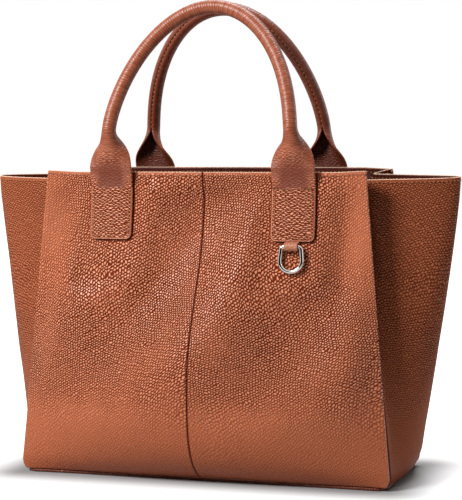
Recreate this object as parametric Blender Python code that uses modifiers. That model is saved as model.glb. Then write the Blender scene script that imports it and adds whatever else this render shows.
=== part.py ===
"""Structured leather tote bag with side wings, two rolled handles and a D-ring.

Metres, +Z up. The origin is the middle of the base on the floor. The front faces -Y
and the wings point along X. Every sub-part is one named object.
"""

import math

import bmesh
import bpy
from mathutils import Matrix, Vector

# Body: front and back panels
BODY_HEIGHT = 0.265
TOP_WIDTH = 0.2855
BASE_WIDTH = 0.3330
TOP_DEPTH = 0.104
BASE_DEPTH = 0.126
LOWER_CORNER_RADIUS = 0.012
RIM_CORNER_RADIUS = 0.004

# Swell of a panel's middle in front of the straight line between its corners
BELLY = 0.035
BELLY_HEIGHT = 0.060
SWELL_DROP = 0.015
TUCK = 0.018
SWELL_POWER = 2.2

# Side wings: the folded gussets
WING_REACH = 0.2125
WING_FOOT_REACH = 0.1740
WING_SPREAD_POWER = 1.3
WING_TUCK = 0.015
WING_TUCK_HEIGHT = 0.030
WING_DROP = 0.0055
RIM_DROP_POWER = 4
VALLEY_STATION = 2
VALLEY_INSET = 0.0150
VALLEY_DEPTH = 0.0120
FOOT_STEP_OUT = 0.0012
FOOT_STEP_BACK = 0.0090
TIP_HANDLE_TOP = 0.0130
TIP_HANDLE_FOOT = 0.0250
FLANK_SHARE = 0.35
FLANK_CROWN = 0.0030

# Materials' thicknesses and the clearances between layers
LEATHER = 0.0020
STIFFENER = 0.0010
LINING = 0.0008
FACING = 0.0012
LAYER_GAP = 0.0003
SEAM_GAP = 0.0003
EDGE_MARGIN = 0.0005
LAYER_MARGIN = 0.0070
FACING_HEIGHT = 0.038

# Base
BASE_LEATHER = 0.0024
BASE_HALF_LENGTH = 0.1635
BASE_CORNER_RADIUS = 0.010
BOARD_THICKNESS = 0.0020
BOARD_MARGIN = 0.0080

# Handle tabs, sewn flat on the panels
TAB_WIDTH = 0.038
TAB_THICKNESS = 0.0030
TAB_DROP = 0.0145
TAB_HEIGHT = 0.0445
TAB_CORNER_RADIUS = 0.005
TAB_GAP = 0.00035
HANDLE_SPREAD = 0.163

# Rolled handles
HANDLE_LEATHER = 0.0020
TUBE_DIAMETER = 0.0120
TUBE_SLIT = 0.0004
CORE_GAP = 0.0005
HINGE_GAP = 0.0003
WRAP_RISE = 0.0015
WRAP_LENGTH = 0.0335
SPRING_RISE = 0.020
ARCH_RISE = 0.1405
LEG_PULL = 0.065
CROWN_PULL = 0.043
FRONT_FLARE = 0.013
BACK_FLARE = -0.002
HANDLE_LEAN = 0.45
LEAN_EASE = 0.015

# D-ring and its leather keeper
RING_X = HANDLE_SPREAD / 2
RING_WIRE = 0.0038
RING_INNER_WIDTH = 0.0150
RING_HEIGHT = 0.0250
RING_CORNER = 0.0030
RING_PLAY = 0.0003
RING_REST_GAP = 0.0004
KEEPER_WIDTH = 0.0120
KEEPER_PLY = 0.0014
KEEPER_FLANGE = 0.0016
KEEPER_GAP = 0.0006
KEEPER_TAIL = 0.0090
KEEPER_DROP = 0.0005

# Facets
PANEL_COLUMNS = 5
BELLY_ROWS = 6
UPPER_ROWS = 6
FACING_ROWS = 2
GUSSET_ROWS = 9
ROW_SPREAD_POWER = 1.5
ARCH_SPREAD_POWER = 1.4
FLANK_STATIONS = 7
WRAP_SEGMENTS = 10
LEG_STATIONS = 4
ARCH_STATIONS = 8
CORNER_SEGMENTS = 3
RING_ARC_STEPS = 10
TAB_COLUMNS = 2
TAB_ROWS = 3
TUBE_RESOLUTION = 2
STATION_SPREAD_POWER = 2
ROUND_PROFILE = 0.5
PANEL_SHARP_ANGLE = math.radians(40)
HANDLE_SHARP_ANGLE = math.radians(50)
FLATTEST_HALF_ANGLE = 0.02
WELD_DISTANCE = 0.00001
PIVOT_SIZE = 0.02

PANEL_FOOT = BASE_LEATHER + LAYER_GAP
FACING_FOOT = BODY_HEIGHT - FACING_HEIGHT
TUBE_RADIUS = TUBE_DIAMETER / 2
SWELL_TOP = BODY_HEIGHT - SWELL_DROP
TAB_TOP = BODY_HEIGHT - TAB_DROP
TAB_BOTTOM = TAB_TOP - TAB_HEIGHT
WRAP_START = BODY_HEIGHT + WRAP_RISE
WRAP_END = WRAP_START + WRAP_LENGTH
SPRING_HEIGHT = BODY_HEIGHT + SPRING_RISE
APEX_HEIGHT = BODY_HEIGHT + ARCH_RISE


def clear_scene():
    for item in list(bpy.data.objects):
        bpy.data.objects.remove(item, do_unlink=True)
    for group in list(bpy.data.collections):
        bpy.data.collections.remove(group)


def make_collection(name):
    group = bpy.data.collections.new(name)
    bpy.context.scene.collection.children.link(group)
    return group


def make_material(name, color, roughness, metallic=0.0):
    material = bpy.data.materials.new(name)
    material.use_nodes = True
    shader = material.node_tree.nodes["Principled BSDF"]
    shader.inputs["Base Color"].default_value = (*color, 1.0)
    shader.inputs["Roughness"].default_value = roughness
    shader.inputs["Metallic"].default_value = metallic
    material.diffuse_color = (*color, 1.0)
    return material


def tan_leather(name):
    return make_material(name, (0.40, 0.125, 0.067), 0.5)


def tab_leather(name):
    return make_material(name, (0.42, 0.14, 0.08), 0.55)


def lining_cloth(name):
    return make_material(name, (0.30, 0.20, 0.13), 0.9)


def interlining(name):
    return make_material(name, (0.55, 0.50, 0.42), 0.85)


def base_plastic(name):
    return make_material(name, (0.25, 0.24, 0.22), 0.6)


def cord_fibre(name):
    return make_material(name, (0.70, 0.66, 0.58), 0.9)


def polished_metal(name):
    return make_material(name, (0.78, 0.77, 0.74), 0.15, 1.0)


def lerp(low, high, share):
    return low + (high - low) * share


def ease(share):
    share = min(max(share, 0.0), 1.0)
    return share * share * (3.0 - 2.0 * share)


def bezier(points, share):
    rest = 1.0 - share
    weights = (rest ** 3, 3 * rest * rest * share, 3 * rest * share * share, share ** 3)
    return tuple(sum(w * p[axis] for w, p in zip(weights, points)) for axis in range(2))


def add_object(name, data, group, material):
    item = bpy.data.objects.new(name, data)
    group.objects.link(item)
    data.materials.append(material(name))
    return item


def make_layer(name, net, depth, thickness, group, material, corner=None):
    """A sheet whose outer face lies a depth behind the net, with thickness inward.

    The corner, if any, is the column whose top corner is rounded.
    """
    rows, columns = len(net), len(net[0])
    bm = bmesh.new()
    bmesh.ops.create_grid(bm, x_segments=columns - 1, y_segments=rows - 1, size=1.0)
    bm.verts.ensure_lookup_table()
    for index, vert in enumerate(bm.verts):
        j, i = divmod(index, columns)
        vert.co = net[j][i]
    if corner is not None:
        top = bm.verts[(rows - 1) * columns + corner]
        bmesh.ops.bevel(
            bm, geom=[top], offset=RIM_CORNER_RADIUS, segments=CORNER_SEGMENTS,
            profile=ROUND_PROFILE, affect="VERTICES",
        )
    bmesh.ops.triangulate(bm, faces=bm.faces[:], quad_method="FIXED")
    bm.normal_update()
    inward = [-vert.normal * depth for vert in bm.verts]
    for vert, shift in zip(bm.verts, inward):
        vert.co += shift
    mesh = bpy.data.meshes.new(name)
    bm.to_mesh(mesh)
    bm.free()
    item = add_object(name, mesh, group, material)
    solidify = item.modifiers.new("thickness", "SOLIDIFY")
    solidify.thickness = thickness
    solidify.offset = -1.0
    mesh.shade_smooth()
    mesh.set_sharp_from_angle(angle=PANEL_SHARP_ANGLE)


def cut_away(item, cutter):
    cut = item.modifiers.new("cut", "BOOLEAN")
    cut.operation = "DIFFERENCE"
    cut.solver = "EXACT"
    cut.object = cutter


def make_box(name, low, high, group):
    mesh = bpy.data.meshes.new(name)
    bm = bmesh.new()
    bmesh.ops.create_cube(bm, size=1.0)
    size = Vector(high) - Vector(low)
    middle = (Vector(high) + Vector(low)) / 2
    for vert in bm.verts:
        vert.co = Vector(vert.co[k] * size[k] + middle[k] for k in range(3))
    bm.to_mesh(mesh)
    bm.free()
    item = bpy.data.objects.new(name, mesh)
    group.objects.link(item)
    item.hide_render = True
    item.display_type = "WIRE"
    return item


def flat_outline(name, loops, thickness, group, material):
    """A filled 2D curve through closed loops of points, as thick as given."""
    curve = bpy.data.curves.new(name, "CURVE")
    curve.dimensions = "2D"
    curve.fill_mode = "BOTH"
    curve.extrude = thickness / 2
    for loop in loops:
        spline = curve.splines.new("POLY")
        spline.points.add(len(loop) - 1)
        for point, (x, y) in zip(spline.points, loop):
            point.co = (x, y, 0.0, 1.0)
        spline.use_cyclic_u = True
    return add_object(name, curve, group, material)


def to_mesh_object(item):
    """Turn a curve object into a mesh object with welded caps."""
    bpy.context.view_layer.update()
    evaluated = item.evaluated_get(bpy.context.evaluated_depsgraph_get())
    mesh = bpy.data.meshes.new_from_object(evaluated)
    bm = bmesh.new()
    bm.from_mesh(mesh)
    bmesh.ops.remove_doubles(bm, verts=bm.verts[:], dist=WELD_DISTANCE)
    bm.to_mesh(mesh)
    bm.free()
    name, group, place = item.name, item.users_collection[0], item.matrix_world.copy()
    bpy.data.objects.remove(item, do_unlink=True)
    solid = bpy.data.objects.new(name, mesh)
    group.objects.link(solid)
    solid.matrix_world = place


def corner_depth(z):
    return lerp(BASE_DEPTH, TOP_DEPTH, z / BODY_HEIGHT) / 2


def side_half_width(z):
    return lerp(BASE_WIDTH, TOP_WIDTH, z / BODY_HEIGHT) / 2


def panel_half_width(z):
    """Half width of a panel, with its rounded lower corners."""
    short = max(LOWER_CORNER_RADIUS - z, 0.0)
    drop = LOWER_CORNER_RADIUS - math.sqrt(LOWER_CORNER_RADIUS ** 2 - short ** 2)
    return side_half_width(z) - drop


def swell(z):
    """How far a panel's middle stands in front of its corner line at a height."""
    if z < BELLY_HEIGHT:
        return (BELLY + TUCK) * math.sqrt(1.0 - (1.0 - z / BELLY_HEIGHT) ** 2) - TUCK
    return BELLY * ease((SWELL_TOP - z) / (SWELL_TOP - BELLY_HEIGHT))


def swell_share(share):
    """Share of the swell across a half panel, straight between its facet lines."""
    cell = min(int(share * PANEL_COLUMNS), PANEL_COLUMNS - 1)
    low, high = cell / PANEL_COLUMNS, (cell + 1) / PANEL_COLUMNS
    ends = (1.0 - low ** SWELL_POWER, 1.0 - high ** SWELL_POWER)
    return lerp(ends[0], ends[1], (share - low) / (high - low))


def panel_depth(x, z):
    """Distance of a panel's outer face from the middle plane of the bag."""
    share = min(abs(x) / panel_half_width(z), 1.0)
    return corner_depth(z) + swell(z) * swell_share(share)


def facet_depth(x, z):
    """Depth of a panel's outer face as built, straight between its facet lines."""
    rows = panel_rows()
    low = max(row for row in rows[:-1] if row <= z)
    high = rows[rows.index(low) + 1]
    share = (z - low) / (high - low)
    return lerp(panel_depth(x, low), panel_depth(x, high), share)


def panel_rows():
    """Heights of the facet lines, closest where the panel tucks under."""
    start = math.acos(1.0 - PANEL_FOOT / BELLY_HEIGHT)
    rows = []
    for step in range(BELLY_ROWS):
        angle = lerp(start, math.pi / 2, step / BELLY_ROWS)
        rows.append(BELLY_HEIGHT * (1.0 - math.cos(angle)))
    for step in range(UPPER_ROWS):
        rows.append(lerp(BELLY_HEIGHT, FACING_FOOT, step / UPPER_ROWS))
    for step in range(FACING_ROWS + 1):
        rows.append(lerp(FACING_FOOT, BODY_HEIGHT, step / FACING_ROWS))
    return rows


def column_reaches(z):
    """Distances of a half panel's facet lines from the middle at a height."""
    widest = panel_half_width(z)
    inner = [widest * step / PANEL_COLUMNS for step in range(PANEL_COLUMNS)]
    return inner + [widest - LAYER_MARGIN, widest]


def turned(line, side):
    """Nodes in the order that turns a net's face away from the middle of the bag."""
    return line if side < 0 else line[::-1]


def half_net(side, hand, rows):
    """Nodes on one sewn half of a panel: side and hand are -1 or 1 along Y and X."""
    net = []
    for z in rows:
        reaches = column_reaches(z)
        reaches[0] = SEAM_GAP / 2
        line = [Vector((hand * x, side * panel_depth(x, z), z)) for x in reaches]
        net.append(turned(line[::hand], side))
    return net


def full_net(side, rows):
    """Nodes across a whole panel, short of its side seams, for the layers inside it."""
    net = []
    for z in rows:
        reaches = column_reaches(z)[:-1]
        across = [-x for x in reversed(reaches[1:])] + reaches
        line = [Vector((x, side * panel_depth(x, z), z)) for x in across]
        net.append(turned(line, side))
    return net


def make_panels(group):
    rows = panel_rows()
    inside = LEATHER + LAYER_GAP
    lined = inside + STIFFENER + LAYER_GAP
    split = BELLY_ROWS + UPPER_ROWS
    lining_rows = rows[:split] + [FACING_FOOT - LAYER_GAP]
    for word, side in (("front", -1), ("back", 1)):
        for hand_word, hand in (("left", -1), ("right", 1)):
            net = half_net(side, hand, rows)
            corner = 0 if hand == side else len(net[0]) - 1
            name = f"{word}_panel_{hand_word}"
            make_layer(name, net, 0.0, LEATHER, group, tan_leather, corner)
        stiffener = full_net(side, rows)
        make_layer(f"{word}_stiffener", stiffener, inside, STIFFENER, group, interlining)
        facing = full_net(side, rows[split:])
        make_layer(f"{word}_facing", facing, lined, FACING, group, tan_leather)
        lining = full_net(side, lining_rows)
        make_layer(f"{word}_lining", lining, lined, LINING, group, lining_cloth)


def wing_reach(z):
    """Distance of a wing's tip from the middle at a height: it tucks under at the foot."""
    spread = 1.0 - (1.0 - z / BODY_HEIGHT) ** WING_SPREAD_POWER
    short = max(1.0 - z / WING_TUCK_HEIGHT, 0.0)
    return lerp(WING_FOOT_REACH, WING_REACH, spread) - WING_TUCK * short * short


def gusset_stations(z):
    """Plan of the right gusset's front half at a height, from its seam to the tip."""
    fold = ease(z / BODY_HEIGHT)
    lift = LEATHER * fold * VALLEY_INSET / math.hypot(VALLEY_INSET, VALLEY_DEPTH)
    seam = (panel_half_width(z) - EDGE_MARGIN, -(corner_depth(z) - LEATHER - LAYER_GAP - lift))
    valley = (
        seam[0] + lerp(FOOT_STEP_OUT, -VALLEY_INSET, fold),
        seam[1] + lerp(FOOT_STEP_BACK, VALLEY_DEPTH, fold),
    )
    tip = (wing_reach(z), 0.0)
    leave = (
        lerp(valley[0], tip[0], FLANK_SHARE),
        lerp(valley[1], tip[1], FLANK_SHARE) - FLANK_CROWN,
    )
    arrive = (tip[0], -lerp(TIP_HANDLE_FOOT, TIP_HANDLE_TOP, fold))
    middle = (lerp(seam[0], valley[0], 0.5), lerp(seam[1], valley[1], 0.5))
    stations = [seam, middle, valley]
    for step in range(1, FLANK_STATIONS + 1):
        share = 1.0 - (1.0 - step / FLANK_STATIONS) ** STATION_SPREAD_POWER
        stations.append(bezier((valley, leave, arrive, tip), share))
    return stations


def rim_drop(station):
    """How far the gusset's rim lies under the panels' rim at a station."""
    return WING_DROP * min(station / VALLEY_STATION, 1.0)


def gusset_net(right, rows, first=0):
    """Nodes on a gusset's outer face, from the front seam round the tip to the back."""
    net = []
    for z in rows:
        line = []
        for index, (x, y) in enumerate(gusset_stations(z)):
            level = z - rim_drop(index) * (z / BODY_HEIGHT) ** RIM_DROP_POWER
            line.append(Vector((x, y, level)))
        line += [Vector((p.x, -p.y, p.z)) for p in reversed(line[:-1])]
        if not right:
            line = [Vector((-p.x, p.y, p.z)) for p in reversed(line)]
        net.append(line[first:len(line) - first])
    return net


def gusset_rows():
    rows = []
    for step in range(GUSSET_ROWS):
        share = (step / GUSSET_ROWS) ** ROW_SPREAD_POWER
        rows.append(lerp(PANEL_FOOT, FACING_FOOT, share))
    for step in range(FACING_ROWS + 1):
        rows.append(lerp(FACING_FOOT, BODY_HEIGHT, step / FACING_ROWS))
    return rows


def make_gussets(group):
    rows = gusset_rows()
    split = len(rows) - FACING_ROWS - 1
    lining_rows = rows[:split] + [FACING_FOOT - 2 * LAYER_GAP]
    inside = LEATHER + LAYER_GAP
    for word, right in (("left", False), ("right", True)):
        make_layer(
            f"{word}_gusset", gusset_net(right, rows), 0.0, LEATHER, group, tan_leather
        )
        facing = gusset_net(right, rows[split:], 1)
        make_layer(f"{word}_gusset_facing", facing, inside, FACING, group, tan_leather)
        lining = gusset_net(right, lining_rows, 1)
        make_layer(f"{word}_gusset_lining", lining, inside, LINING, group, lining_cloth)


def base_outline(half_length, margin, radius):
    """Plan of the base: its long edges follow the feet of the panels."""
    straight = half_length - radius
    front = []
    for step in range(2 * PANEL_COLUMNS + 1):
        x = lerp(-straight, straight, step / (2 * PANEL_COLUMNS))
        front.append((x, -(panel_depth(x, PANEL_FOOT) - margin)))
    corner_y = front[-1][1] + radius
    for step in range(1, CORNER_SEGMENTS + 1):
        angle = math.pi / 2 * step / CORNER_SEGMENTS
        x = straight + radius * math.sin(angle)
        y = corner_y - radius * math.cos(angle)
        front.append((x, y))
        front.insert(0, (-x, y))
    return front + [(x, -y) for x, y in reversed(front)]


def make_base(group):
    outline = base_outline(BASE_HALF_LENGTH, 0.0, BASE_CORNER_RADIUS)
    slab = flat_outline("base_panel", [outline], BASE_LEATHER, group, tan_leather)
    slab.location.z = BASE_LEATHER / 2
    inner = base_outline(BASE_HALF_LENGTH - BOARD_MARGIN, BOARD_MARGIN, BASE_CORNER_RADIUS)
    board = flat_outline("base_board", [inner], BOARD_THICKNESS, group, base_plastic)
    board.location.z = BASE_LEATHER + LAYER_GAP + BOARD_THICKNESS / 2
    lining = flat_outline("base_lining", [inner], LINING, group, lining_cloth)
    lining.location.z = BASE_LEATHER + BOARD_THICKNESS + 2 * LAYER_GAP + LINING / 2
    for item in (slab, board, lining):
        to_mesh_object(item)


def make_tab(name, x_middle, side, group):
    """A flat tab that follows the panel behind it."""
    bm = bmesh.new()
    bmesh.ops.create_grid(bm, x_segments=TAB_COLUMNS, y_segments=TAB_ROWS, size=0.5)
    height = TAB_TOP - TAB_BOTTOM
    for vert in bm.verts:
        x = x_middle - side * vert.co.x * TAB_WIDTH
        vert.co = (x, 0.0, TAB_BOTTOM + (vert.co.y + 0.5) * height)
    corners = [v for v in bm.verts if len(v.link_edges) == 2 and v.co.z < TAB_TOP - height / 2]
    bmesh.ops.bevel(
        bm, geom=corners, offset=TAB_CORNER_RADIUS, segments=CORNER_SEGMENTS,
        profile=ROUND_PROFILE, affect="VERTICES",
    )
    for vert in bm.verts:
        face = facet_depth(vert.co.x, vert.co.z)
        vert.co.y = side * (face + TAB_GAP + TAB_THICKNESS)
    bmesh.ops.triangulate(bm, faces=bm.faces[:], quad_method="FIXED")
    mesh = bpy.data.meshes.new(name)
    bm.to_mesh(mesh)
    bm.free()
    item = add_object(name, mesh, group, tab_leather)
    solidify = item.modifiers.new("thickness", "SOLIDIFY")
    solidify.thickness = TAB_THICKNESS
    solidify.offset = -1.0
    return item


def tab_face_depth():
    """Depth of the strip's outer face at the top of the tabs."""
    return facet_depth(HANDLE_SPREAD / 2, TAB_TOP) + TAB_GAP + TAB_THICKNESS


def strip_depth(z, flare):
    """Depth of a handle strip's outer middle line at a height."""
    rise = z - TAB_TOP
    out = flare * ease(rise / (WRAP_END - TAB_TOP))
    above = max(z - WRAP_END, 0.0)
    back = HANDLE_LEAN * above * above / (above + LEAN_EASE)
    return tab_face_depth() + out - back


def arch_line():
    """Half of a handle's outline seen from the front, as (x, z) from tab to apex."""
    half = HANDLE_SPREAD / 2
    foot = TAB_TOP + HINGE_GAP
    line = []
    for step in range(LEG_STATIONS):
        line.append((half, lerp(foot, SPRING_HEIGHT, step / LEG_STATIONS)))
    ends = (
        (half, SPRING_HEIGHT),
        (half, SPRING_HEIGHT + LEG_PULL),
        (CROWN_PULL, APEX_HEIGHT),
        (0.0, APEX_HEIGHT),
    )
    for step in range(ARCH_STATIONS + 1):
        line.append(bezier(ends, (step / ARCH_STATIONS) ** ARCH_SPREAD_POWER))
    return line


def handle_frames(side, flare):
    """Points on the strip's outer middle line, with its tangent and outward normal."""
    right = [Vector((x, side * strip_depth(z, flare), z)) for x, z in arch_line()]
    left = [Vector((-p.x, p.y, p.z)) for p in right]
    points = left + right[-2::-1]
    frames = []
    for index, point in enumerate(points):
        before = points[max(index - 1, 0)]
        after = points[min(index + 1, len(points) - 1)]
        tangent = (after - before).normalized()
        if index in (0, len(points) - 1):
            tangent = Vector((0.0, 0.0, 1.0 if index == 0 else -1.0))
        outward = Vector((0.0, side, 0.0))
        outward = (outward - tangent * outward.dot(tangent)).normalized()
        frames.append((point, tangent, outward))
    return frames


def make_handle(name, side, flare, group):
    """A strip that lies flat at both ends and rolls into a tube between them."""
    frames = handle_frames(side, flare)
    mid_radius = TUBE_RADIUS - HANDLE_LEATHER / 2
    full_turn = math.pi - TUBE_SLIT / (2 * TUBE_RADIUS)
    bm = bmesh.new()
    rings = []
    for point, tangent, outward in frames:
        wrap = min(max((point.z - WRAP_START) / (WRAP_END - WRAP_START), 0.0), 1.0)
        half_angle = max(full_turn * wrap, FLATTEST_HALF_ANGLE)
        width = lerp(TAB_WIDTH, 2 * full_turn * mid_radius, wrap)
        radius = width / (2 * half_angle)
        across = tangent.cross(outward)
        centre = point - outward * (radius + HANDLE_LEATHER / 2)
        ring = []
        for face in (1, -1):
            reach = radius + face * HANDLE_LEATHER / 2
            for step in range(WRAP_SEGMENTS + 1):
                angle = face * half_angle * (2 * step / WRAP_SEGMENTS - 1)
                arm = outward * math.cos(angle) + across * math.sin(angle)
                ring.append(bm.verts.new(centre + arm * reach))
        rings.append(ring)
    count = len(rings[0])
    for ring, following in zip(rings, rings[1:]):
        for index in range(count):
            other = (index + 1) % count
            bm.faces.new((ring[index], ring[other], following[other], following[index]))
    bm.faces.new(reversed(rings[0]))
    bm.faces.new(rings[-1])
    bmesh.ops.recalc_face_normals(bm, faces=bm.faces[:])
    mesh = bpy.data.meshes.new(name)
    bm.to_mesh(mesh)
    bm.free()
    item = add_object(name, mesh, group, tan_leather)
    mesh.shade_smooth()
    mesh.set_sharp_from_angle(angle=HANDLE_SHARP_ANGLE)
    return item


def make_core(name, side, flare, group):
    """The round filler cord inside a handle's closed tube."""
    points = []
    for point, _tangent, outward in handle_frames(side, flare):
        if point.z >= WRAP_END:
            points.append(point - outward * TUBE_RADIUS)
    curve = bpy.data.curves.new(name, "CURVE")
    curve.dimensions = "3D"
    curve.bevel_depth = TUBE_RADIUS - HANDLE_LEATHER - CORE_GAP
    curve.bevel_resolution = TUBE_RESOLUTION
    curve.use_fill_caps = True
    spline = curve.splines.new("POLY")
    spline.points.add(len(points) - 1)
    for place, point in zip(spline.points, points):
        place.co = (*point, 1.0)
    return add_object(name, curve, group, cord_fibre)


def put_on_axis(items, name, location, group):
    """Parent the pieces of a moving body to an empty on its joint axis."""
    pivot = bpy.data.objects.new(name, None)
    pivot.empty_display_size = PIVOT_SIZE
    pivot.location = location
    group.objects.link(pivot)
    for item in items:
        item.parent = pivot
        item.matrix_parent_inverse = Matrix.Translation(location).inverted()


def make_handles(group):
    for word, side, flare in (("front", -1, FRONT_FLARE), ("back", 1, BACK_FLARE)):
        handle = make_handle(f"{word}_handle", side, flare, group)
        core = make_core(f"{word}_handle_core", side, flare, group)
        hinge = Vector((0.0, side * tab_face_depth(), TAB_TOP + HINGE_GAP / 2))
        put_on_axis([handle, core], f"{word}_handle_pivot", hinge, group)


def eye_radius():
    return RING_WIRE / 2 + RING_PLAY


def eye_height():
    return TAB_BOTTOM - eye_radius() - KEEPER_PLY - KEEPER_DROP


def eye_depth():
    return facet_depth(RING_X, eye_height()) + KEEPER_GAP + eye_radius() + KEEPER_PLY


def panel_slope():
    """Backward lean of the front panel behind the keeper's tail."""
    low = eye_height()
    high = TAB_BOTTOM + KEEPER_TAIL
    change = facet_depth(RING_X, low) - facet_depth(RING_X, high)
    return math.atan2(change, high - low)


def eye_transform():
    place = Matrix.Translation((RING_X, -eye_depth(), eye_height()))
    lean = Matrix.Rotation(-panel_slope(), 4, "X")
    stand = Matrix(((0, 0, 1, 0), (1, 0, 0, 0), (0, 1, 0, 0), (0, 0, 0, 1)))
    return place @ lean, place @ lean @ stand


def make_keeper(group, cutters, tab):
    """A folded strip: a tail between tab and panel, and an eye for the ring's bar."""
    outer = eye_radius() + KEEPER_PLY
    tail_top = TAB_BOTTOM + KEEPER_TAIL - eye_height()
    inner_face = outer - KEEPER_FLANGE
    meet = math.acos(inner_face / outer)
    profile = [(outer, tail_top), (inner_face, tail_top)]
    steps = 4 * CORNER_SEGMENTS
    for step in range(steps + 1):
        angle = lerp(meet, 2 * math.pi, step / steps)
        profile.append((outer * math.cos(angle), outer * math.sin(angle)))
    hole = []
    for step in range(steps):
        angle = 2 * math.pi * step / steps
        hole.append((eye_radius() * math.cos(angle), eye_radius() * math.sin(angle)))
    local, standing = eye_transform()
    keeper = flat_outline("d_ring_keeper", [profile, hole], KEEPER_WIDTH, group, tab_leather)
    keeper.matrix_world = standing
    to_mesh_object(keeper)
    half = KEEPER_WIDTH / 2 + LAYER_GAP
    low = (-half, inner_face - LAYER_GAP, 0.0)
    high = (half, outer + TAB_THICKNESS, tail_top + LAYER_GAP)
    pocket = make_box("keeper_pocket", low, high, cutters)
    pocket.matrix_world = local
    cut_away(tab, pocket)


def ring_outline():
    """Centre line of the D, as (across, down) from the middle of its bar."""
    half = (RING_INNER_WIDTH + RING_WIRE) / 2
    drop = RING_HEIGHT - RING_WIRE
    points = []
    for step in range(CORNER_SEGMENTS + 1):
        angle = math.pi / 2 * step / CORNER_SEGMENTS
        x = half - RING_CORNER + RING_CORNER * math.sin(angle)
        points.append((x, RING_CORNER - RING_CORNER * math.cos(angle)))
    for step in range(RING_ARC_STEPS + 1):
        angle = math.pi * step / RING_ARC_STEPS
        points.append((half * math.cos(angle), drop - half + half * math.sin(angle)))
    for x, down in reversed(points[:CORNER_SEGMENTS + 1]):
        points.append((-x, down))
    return points


def ring_lean():
    """Outward lean at which the ring lies on the panel below the tab."""
    drop = RING_HEIGHT - RING_WIRE
    low = eye_height() - drop
    nearer_side = RING_X - RING_INNER_WIDTH / 2
    wanted = facet_depth(nearer_side, low) + RING_WIRE / 2 + RING_REST_GAP
    return math.atan2(max(wanted - eye_depth(), 0.0), drop)


def make_ring(group):
    curve = bpy.data.curves.new("d_ring", "CURVE")
    curve.dimensions = "3D"
    curve.bevel_depth = RING_WIRE / 2
    curve.bevel_resolution = TUBE_RESOLUTION
    outline = ring_outline()
    spline = curve.splines.new("POLY")
    spline.points.add(len(outline) - 1)
    for place, (x, down) in zip(spline.points, outline):
        place.co = (x, 0.0, -down, 1.0)
    spline.use_cyclic_u = True
    ring = add_object("d_ring", curve, group, polished_metal)
    ring.location = (RING_X, -eye_depth(), eye_height())
    ring.rotation_euler.x = -ring_lean()


def make_tabs(group):
    tabs = {}
    for word, side in (("front", -1), ("back", 1)):
        for hand, x in (("left", -HANDLE_SPREAD / 2), ("right", HANDLE_SPREAD / 2)):
            name = f"{word}_handle_{hand}_tab"
            tabs[name] = make_tab(name, x, side, group)
    return tabs


def main():
    clear_scene()
    group = make_collection("tote_bag")
    cutters = make_collection("cutters")
    make_panels(group)
    make_gussets(group)
    make_base(group)
    tabs = make_tabs(group)
    make_handles(group)
    make_keeper(group, cutters, tabs["front_handle_right_tab"])
    make_ring(group)


if __name__ == "__main__":
    main()
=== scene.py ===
"""A structured leather tote bag: two sewn panels, side wings, rolled handles and a hanging ring.

Each operator makes one piece or one group of like pieces, in metres, in the frame of the
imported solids: +Z is up and the front faces -Y. The functions before them hold the bag's
forms, its nets of points, and its finishes.
"""

from math import acos, ceil, cos, hypot, pi, radians, sin, sqrt

import bmesh
import bpy
from mathutils import Matrix, Vector, noise


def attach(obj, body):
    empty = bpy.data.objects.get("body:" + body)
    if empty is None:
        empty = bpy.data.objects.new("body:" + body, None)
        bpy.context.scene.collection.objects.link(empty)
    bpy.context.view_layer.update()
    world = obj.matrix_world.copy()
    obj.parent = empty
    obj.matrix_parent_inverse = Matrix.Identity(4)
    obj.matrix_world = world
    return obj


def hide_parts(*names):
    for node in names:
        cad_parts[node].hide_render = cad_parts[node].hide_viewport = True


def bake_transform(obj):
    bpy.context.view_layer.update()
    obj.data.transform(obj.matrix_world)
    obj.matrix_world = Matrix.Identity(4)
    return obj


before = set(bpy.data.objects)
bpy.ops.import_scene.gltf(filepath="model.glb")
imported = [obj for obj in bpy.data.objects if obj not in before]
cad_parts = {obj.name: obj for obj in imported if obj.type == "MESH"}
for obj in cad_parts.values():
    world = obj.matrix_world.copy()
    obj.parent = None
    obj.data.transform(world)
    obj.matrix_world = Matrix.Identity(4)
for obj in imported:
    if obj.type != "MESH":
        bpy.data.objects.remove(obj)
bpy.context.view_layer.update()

bl_info = {
    "name": "Leather Tote Bag",
    "version": (1, 0, 0),
    "blender": (4, 5, 0),
    "location": "3D View > Sidebar > Tote Bag",
    "description": "Makes a structured leather tote bag with side wings and rolled handles",
    "category": "Object",
}

# Body
BODY_HEIGHT = 0.265
TOP_WIDTH = 0.2855
BASE_WIDTH = 0.3330
TOP_DEPTH = 0.104
BASE_DEPTH = 0.126
LOWER_CORNER_RADIUS = 0.012
PANEL_FOOT = 0.0027
BELLY = 0.035
BELLY_HEIGHT = 0.060
TUCK = 0.018
SWELL_POWER = 2.2
SWELL_TOP = 0.250
FACING_FOOT = 0.227
LEATHER = 0.002
STIFFENER = 0.001
LINING = 0.0008
FACING = 0.0012
LAYER_GAP = 0.0003
LAYER_MARGIN = 0.007
SEAM_GAP = 0.0003
EDGE_MARGIN = 0.0005
FACING_TOP = BODY_HEIGHT - 0.0006
STIFFENER_TOP = BODY_HEIGHT - 0.0038
LINING_BEHIND = LEATHER + LAYER_GAP
FACING_BEHIND = LINING_BEHIND + STIFFENER + LAYER_GAP

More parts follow.
